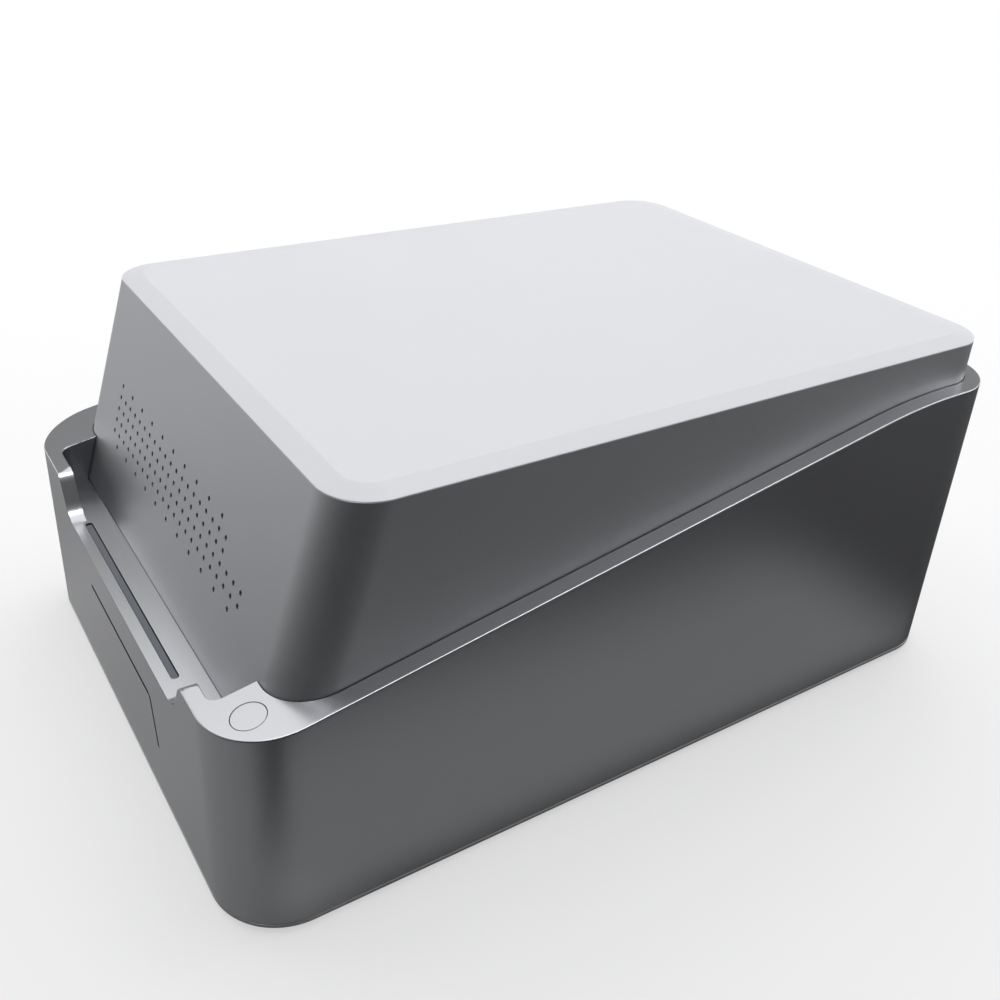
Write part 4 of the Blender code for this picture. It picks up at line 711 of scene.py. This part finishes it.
def makeAccent():
    # The line lies a little behind the front face
    near = case["front"] + accent["recess"]
    line = surface("accentLine", [
        atDepth(accentOutline(), near), atDepth(accentOutline(), near + accent["depth"])])
    return finished(line, "case", finishes["blackLine"], "accent_black", "accent_inlay")


baseShell = makeBaseShell()
print("base shell:", len(baseShell.data.polygons), "faces")

# Upper casing: one closed shell with a flange round its top opening, and the perforated band
casing = {
    "flange": 0.010, "flangeThickness": 0.0025, "openingRadius": 0.008, "footRound": 0.0003, "footBand": 0.0015,
    "brimRound": 0.0001, "sideShares": (0.12, 0.3, 0.5, 0.7, 0.88, 0.98), "innerShare": 0.4,
    "holeRadius": 0.0009, "holeSides": 16, "pitchAcross": 0.00582, "pitchUp": 0.00454, "firstRow": 0.0249,
    "shift": -0.0019, "columns": 23, "rows": 5, "shortColumns": 3, "shortRows": 3,
}


def casingPoint(x, along, inwards):
    # A point by the leaning front: along its slope from the foot, and square inwards from its face
    length = math.hypot(1, case["leanRate"])
    rise = along / length
    return np.stack([
        x + 0 * rise, case["casingFootY"] + rise * case["leanRate"] + inwards / length,
        case["casingFoot"] + rise - inwards * case["leanRate"] / length,
    ], -1)


def holeCutters():
    # One ring of points is copied to every hole's place at once, near and far side. The first column and
    # every second one after it sit a row higher, and the last few stop short.
    places = np.array([
        (casing["shift"] + (column - (casing["columns"] - 1) / 2) * casing["pitchAcross"],
         casing["firstRow"] + row * casing["pitchUp"])
        for column in range(casing["columns"])
        for row in range((column + 1) % 2, (column + 1) % 2 + casing["rows"])
        if column < casing["columns"] - casing["shortColumns"] or row < casing["shortRows"]
    ])
    sides = casing["holeSides"]
    ring = circleOutline(0, 0, casing["holeRadius"], sides)
    flat = places[:, None, :] + ring[None]
    near = casingPoint(flat[..., 0], flat[..., 1], -shell["overrun"])
    far = casingPoint(flat[..., 0], flat[..., 1], case["casingWall"] + shell["overrun"])
    points = np.stack([near, far], 1).reshape(-1, 3)
    step = np.arange(sides)
    after = (step + 1) % sides
    walls = np.stack([step, after, after + sides, step + sides], 1)
    starts = np.arange(len(places)) * 2 * sides
    quads = (walls[None] + starts[:, None, None]).reshape(-1, 4)
    caps = np.stack([step[::-1], step + sides])[None] + starts[:, None, None]
    print("perforations:", len(places))
    return meshPiece("holeCutter", points.tolist(), quads.tolist() + caps.reshape(-1, sides).tolist())


def openingOutline(inset=0.0):
    # The casing's top opening, which the flange leaves free
    half = case["casingHalfWidth"] - casing["flange"] - inset
    return roundedOutline(
        -half, half, casingFront(case["brim"]) + casing["flange"] + inset,
        case["casingRear"] - casing["flange"] - inset, casing["openingRadius"] - inset)


def makeUpperCasing():
    # The profile goes up the outside, in over the flange, and down the inside, and closes at the foot
    foot, top, wall = case["casingFoot"], case["brim"], case["casingWall"]
    under = top - casing["flangeThickness"]
    soft, footSoft = casing["brimRound"], casing["footRound"]
    steps = [(foot, -footSoft), (foot + footSoft, 0.0), (foot + casing["footBand"], 0.0)]   # height, growth
    steps += [(foot + share * (top - foot), 0.0) for share in casing["sideShares"]]
    steps += [(top - soft, 0.0), (top, -soft)]
    rows = [atHeight(casingOutline(height, grow), height) for height, grow in steps]
    rows += [atHeight(openingOutline(), top), atHeight(openingOutline(), under)]
    for height in (under, foot + casing["innerShare"] * (under - foot), foot):
        rows.append(atHeight(casingOutline(height, -wall), height))
    body = surface("upperCasing", rows, closed=True)
    carve(body, holeCutters())
    return finished(body, "case", finishes["casingPaint"], "casing_paint", "upper_casing")


upperCasing = makeUpperCasing()
print("upper casing:", len(upperCasing.data.polygons), "faces")

# Top cover: a thin edge, a wide shallow bevel and a flat top, with a lip that drops into the casing
cover = {
    "edgeRound": 0.00008, "roundRise": 0.13, "bevel": 0.0077, "bevelStart": 0.0010, "bevelSoft": 0.000008,
    "bevelShares": (0.4, 0.75, 0.95, 0.985), "flatShares": (1.02, 1.25),
    "lipDrop": 0.003, "lipWall": 0.002, "lipGap": 0.0003, "lipWeld": 0.0003,
}


def makeTopCover():
    # The outline is carried up the edge and along the bevel, with the bevel's top blended over three rings
    bottom, edge, top = case["coverBottom"], case["coverEdge"], case["coverTop"]
    front, rounding = casingFront(case["brim"]), cover["edgeRound"]
    rows = []

    def ring(inset, height):
        outline = roundedOutline(
            -case["casingHalfWidth"] + inset, case["casingHalfWidth"] - inset, front + inset,
            case["casingRear"] - inset, case["casingRadius"] - inset)
        rows.append(atHeight(outline, height))

    ring(cover["lipGap"] + casing["flange"] + cover["lipWall"], bottom)
    ring(rounding, bottom)
    ring(0.0, bottom + rounding)
    ring(0.0, edge - rounding)
    ring(rounding * middleRing, edge - rounding * middleRing)
    ring(rounding, edge + rounding * cover["roundRise"])
    for share in (cover["bevelStart"] / cover["bevel"], *cover["bevelShares"]):
        ring(cover["bevel"] * share, edge + (top - edge) * share)
    ring(cover["bevel"], top - cover["bevelSoft"])
    for share in cover["flatShares"]:
        ring(cover["bevel"] * share, top)
    body = surface("topCover", rows)
    outer, inner = openingOutline(cover["lipGap"]), openingOutline(cover["lipGap"] + cover["lipWall"])
    low, high = bottom - cover["lipDrop"], bottom + cover["lipWeld"]
    lip = surface("coverLip", [
        atHeight(outer, low), atHeight(outer, high), atHeight(inner, high), atHeight(inner, low)], closed=True)
    carve(body, lip, "UNION")
    return finished(body, "case", finishes["whiteCover"], "cover_white", "top_cover", sharpAngle=24)


topCover = makeTopCover()
print("top cover:", len(topCover.data.polygons), "faces")


def makeButton():
    # A slightly crowned disc on a stem that stands beside its middle. crownSteps says how far below the top
    # and in from the radius each ring of the crown lies, in crowns.
    crown, radius, thick = button["crown"], button["radius"], button["thickness"]
    profile = [(-thick, radius - button["footRound"]), (-thick + button["footRound"], radius)]
    profile += [(-crown * down, radius - crown * inwards) for down, inwards in button["crownSteps"]]
    profile.append((0.0, radius * button["crownFlat"]))
    cap = turnedPiece("buttonCap", onRim(*button["centre"]), rimNormal, profile, count=96)
    stemTop, stemRadius, soft = onRim(*button["stemCentre"]), button["stemRadius"], button["stemRound"]
    tip = -(stemTop[2] - button["stemFoot"]) / rimNormal[2]
    carve(cap, turnedPiece("buttonStem", stemTop, rimNormal, [
        (tip, stemRadius * button["stemTip"]), (tip + soft, stemRadius), (-thick + soft, stemRadius)],
        count=32), "UNION")
    return finished(cap, "button", finishes["basePaint"], "button_paint", "button_cap")


sheet = {"low": 0.002, "high": 0.0038, "edgeRound": 0.0003, "chamferIn": 0.0006, "chamferDown": 0.00045}


def makeBottomPlate():
    # A flat sheet with softened edges, countersunk for the screws
    low, high, soft = sheet["low"], sheet["high"], sheet["edgeRound"]
    plate = surface("bottomPlate", [
        atHeight(baseOutline(soft), low), atHeight(baseOutline(), low + soft),
        atHeight(baseOutline(), high - sheet["chamferDown"]), atHeight(baseOutline(sheet["chamferIn"]), high)])
    for number, (x, y) in enumerate(screws["places"]):
        carve(plate, turnedPiece(f"countersink{number}", (x, y, low), (0, 0, 1), [
            (-shell["overrun"], screws["headRadius"]), (0.0, screws["headRadius"]),
            (screws["headDepth"], screws["shankRadius"]), (screws["shankTop"], screws["shankRadius"])],
            count=40))
    return finished(plate, "case", finishes["plateGrey"], "plate_grey", "bottom_plate")


makeAccent()
makeButton()
makeBottomPlate()
print("button and bottom plate made")

# Camera: where the photograph was taken from, with its turn, tilt, roll and crop
camera = {
    "place": (0.3228, -0.2204, 0.2875), "azimuth": 55.73, "down": 28.17, "roll": 3.36,
    "lens": 39.57, "sensorWidth": 36.0, "shiftY": -0.05, "clipStart": 0.01,
}


def makeCamera():
    # The view's direction follows from azimuth and tilt, and roll turns right and up about it
    azimuth, down, roll = (math.radians(camera[k]) for k in ("azimuth", "down", "roll"))
    forward = Vector((-math.sin(azimuth) * math.cos(down), math.cos(azimuth) * math.cos(down), -math.sin(down)))
    level = Vector((math.cos(azimuth), math.sin(azimuth), 0))
    upright = level.cross(forward)
    right = level * math.cos(roll) + upright * math.sin(roll)
    up = right.cross(forward)
    data = bpy.data.cameras.new("photoCamera")
    data.lens, data.sensor_width, data.sensor_fit = camera["lens"], camera["sensorWidth"], "HORIZONTAL"
    data.shift_y, data.clip_start = camera["shiftY"], camera["clipStart"]
    holder = addObject("photoCamera", data)
    turn = Matrix((right, up, -forward)).transposed()
    holder.matrix_world = Matrix.Translation(camera["place"]) @ turn.to_4x4()
    bpy.context.scene.camera = holder


makeCamera()

# Studio: a white floor, a wide lamp overhead, a fill from behind that reflections miss, a low lamp in
# front, a strip and a floor card that only reflections see, and a surround. Each tone list gives degrees
# from +X and a grey.
studio = {
    "floorHalf": 4.0, "floorColour": (0.94, 0.94, 0.945), "fadeStart": 0.30, "fadeEnd": 0.80, "floorLift": 0.55,
    "overhead": {"place": (-0.67, -0.05, 1.45), "size": (2.25, 1.6), "watts": 16.2},
    "fill": {"place": (-0.62, 1.3, 1.2), "aim": (0, 0, 0.1), "size": (2.15, 1.2), "watts": 13.5, "glossy": False},
    "front": {"place": (-1.25, -1.00, 0.55), "aim": (0, -0.1, 0.07), "size": (1.0, 0.7), "watts": 3.2},
    "edgeStrip": {"place": (0.27, 0.85, 1.40), "size": (0.3, 3.6), "watts": 20.0, "diffuse": False},
    "cardRise": 0.0004, "cardHalf": 2.0, "nearReach": 0.25, "farReach": 0.42,
    "nearTones": (
        (-180, 0.40), (-134, 0.34), (-121, 0.42), (-99, 0.35), (-78, 0.32), (-65, 0.28), (-57, 0.25),
        (-50, 0.12), (-43, 0.05), (-20, 0.05), (60, 0.06), (85, 0.08), (115, 0.25), (150, 0.45), (180, 0.50),
    ),
    "farTones": (
        (-180, 0.55), (-145, 0.62), (-120, 0.48), (-98, 0.20), (-80, 0.10), (-55, 0.03), (-30, 0.02), (0, 0.03),
        (40, 0.07), (60, 0.08), (85, 0.10), (115, 0.25), (150, 0.45), (180, 0.55),
    ),
    "glowTone": 0.20, "glowAcross": ((0.105, 0.125), (0.23, 0.17)), "glowAlong": ((-0.18, -0.13), (0.19, 0.12)),
    "surroundTones": (
        (-180, 0.34), (-150, 0.45), (-120, 0.42), (-100, 0.25), (-80, 0.08), (-60, 0.02), (-35, 0.01), (0, 0.03),
        (28, 0.12), (48, 2.9), (80, 2.9), (110, 0.45), (180, 0.34),
    ),
    "upperTones": ((-180, 0.30), (-110, 0.30), (-75, 0.08), (-15, 0.05), (14, 0.28), (40, 0.45), (180, 0.30)),
    "upperStart": 0.15, "upperFull": 0.45,
}


def makeLamp(name):
    # A rectangle that shines straight down, or at its aim
    spec = studio[name]
    data = bpy.data.lights.new(name, "AREA")
    data.shape, (data.size, data.size_y), data.energy = "RECTANGLE", spec["size"], spec["watts"]
    lamp = addObject(name, data)
    lamp.location = spec["place"]
    lamp.visible_diffuse, lamp.visible_glossy = spec.get("diffuse", True), spec.get("glossy", True)
    if "aim" in spec:
        lamp.rotation_euler = (Vector(spec["aim"]) - Vector(spec["place"])).to_track_quat("-Z", "Y").to_euler()


def toneByDirection(tree, vector, tones):
    # Grey by the angle round the upright axis, in degrees from +X
    around = addNode(tree, "ShaderNodeTexGradient", {"gradient_type": "RADIAL"}, Vector=vector)
    ramp = addNode(tree, "ShaderNodeValToRGB", Fac=around.outputs["Fac"])
    stops = ramp.color_ramp.elements
    while len(stops) < len(tones):
        stops.new(0.5)
    for stop, (degrees, tone) in zip(stops, tones):
        stop.position, stop.color = degrees / 360 + 0.5, (tone, tone, tone, 1)
    return ramp.outputs["Color"]


def flatStage(name, half, height, material):
    # A level square that belongs to the stage
    mesh = bpy.data.meshes.new(name)
    corners = [(-half, -half, height), (half, -half, height), (half, half, height), (-half, half, height)]
    mesh.from_pydata(corners, [], [(0, 1, 2, 3)])
    mesh.materials.append(material)
    piece = addObject(name, mesh)
    return piece


def stageMaterial(name):
    # A material without the usual shader
    material = bpy.data.materials.new(name)
    material.use_nodes = True
    tree = material.node_tree
    tree.nodes.remove(tree.nodes["Principled BSDF"])
    return material, tree


def makeFloor():
    # Diffuse white that keeps the shadow; the camera sees it mixed with plain white, wholly so far away
    material, tree = stageMaterial("floorWhite")
    diffuse = addNode(tree, "ShaderNodeBsdfDiffuse", Color=(*studio["floorColour"], 1))
    glow = addNode(tree, "ShaderNodeEmission", Color=(1, 1, 1, 1))
    place = addNode(tree, "ShaderNodeTexCoord")
    reach = addNode(tree, "ShaderNodeVectorMath", {"operation": "LENGTH"}, _0=place.outputs["Object"])
    far = smoothFade(
        tree, reach.outputs["Value"], studio["fadeStart"], studio["fadeEnd"], studio["floorLift"])
    share = reckon(tree, "MULTIPLY", far, addNode(tree, "ShaderNodeLightPath").outputs["Is Camera Ray"])
    mix = addNode(tree, "ShaderNodeMixShader", _0=share, _1=diffuse.outputs[0], _2=glow.outputs[0])
    tree.links.new(mix.outputs[0], tree.nodes["Material Output"].inputs["Surface"])
    flatStage("floor", studio["floorHalf"], 0.0, material)


def makeReflectionCard():
    # Seen only in reflections: its tone changes with the direction from the object, as a room's would,
    # and a lighter patch lies along the right side
    material, tree = stageMaterial("cardTones")
    place = addNode(tree, "ShaderNodeTexCoord").outputs["Object"]
    split = addNode(tree, "ShaderNodeSeparateXYZ", Vector=place)
    glow = studio["glowTone"]
    for axis, edges in (("X", studio["glowAcross"]), ("Y", studio["glowAlong"])):
        for dark, light in edges:
            glow = reckon(tree, "MULTIPLY", glow, smoothFade(tree, split.outputs[axis], dark, light))
    reach = addNode(tree, "ShaderNodeVectorMath", {"operation": "LENGTH"}, _0=place)
    far = smoothFade(tree, reach.outputs["Value"], studio["nearReach"], studio["farReach"])
    nearTone, farTone = (toneByDirection(tree, place, studio[key]) for key in ("nearTones", "farTones"))
    tone = blend(tree, far, nearTone, farTone)
    total = addNode(tree, "ShaderNodeVectorMath", {"operation": "ADD"}, _0=tone, _1=glow)
    shine = addNode(tree, "ShaderNodeEmission", Color=total.outputs[0])
    tree.links.new(shine.outputs[0], tree.nodes["Material Output"].inputs["Surface"])
    card = flatStage("reflectionCard", studio["cardHalf"], studio["cardRise"], material)
    card.visible_camera = card.visible_diffuse = card.visible_shadow = card.visible_transmission = False


def makeSurround():
    # White where the camera or glass sees it. Diffuse and glossy rays find a tone that changes with the
    # direction, and another set of tones higher up.
    world = bpy.data.worlds.new("surround")
    world.use_nodes = True
    tree = world.node_tree
    path = addNode(tree, "ShaderNodeLightPath").outputs
    seen = reckon(tree, "MAXIMUM", path["Is Camera Ray"], path["Is Transmission Ray"])
    way = addNode(tree, "ShaderNodeTexCoord").outputs["Generated"]
    rise = addNode(tree, "ShaderNodeSeparateXYZ", Vector=way).outputs["Z"]
    high = smoothFade(tree, rise, studio["upperStart"], studio["upperFull"])
    lower, upper = (toneByDirection(tree, way, studio[key]) for key in ("surroundTones", "upperTones"))
    mixed = blend(tree, seen, blend(tree, high, lower, upper), (1, 1, 1, 1))
    tree.links.new(mixed, tree.nodes["Background"].inputs["Color"])
    bpy.context.scene.world = world


for lampName in ("overhead", "fill", "front", "edgeStrip"):
    makeLamp(lampName)
makeFloor()
makeReflectionCard()
makeSurround()
bpy.context.scene.view_settings.view_transform = "Standard"
print("camera and studio set")
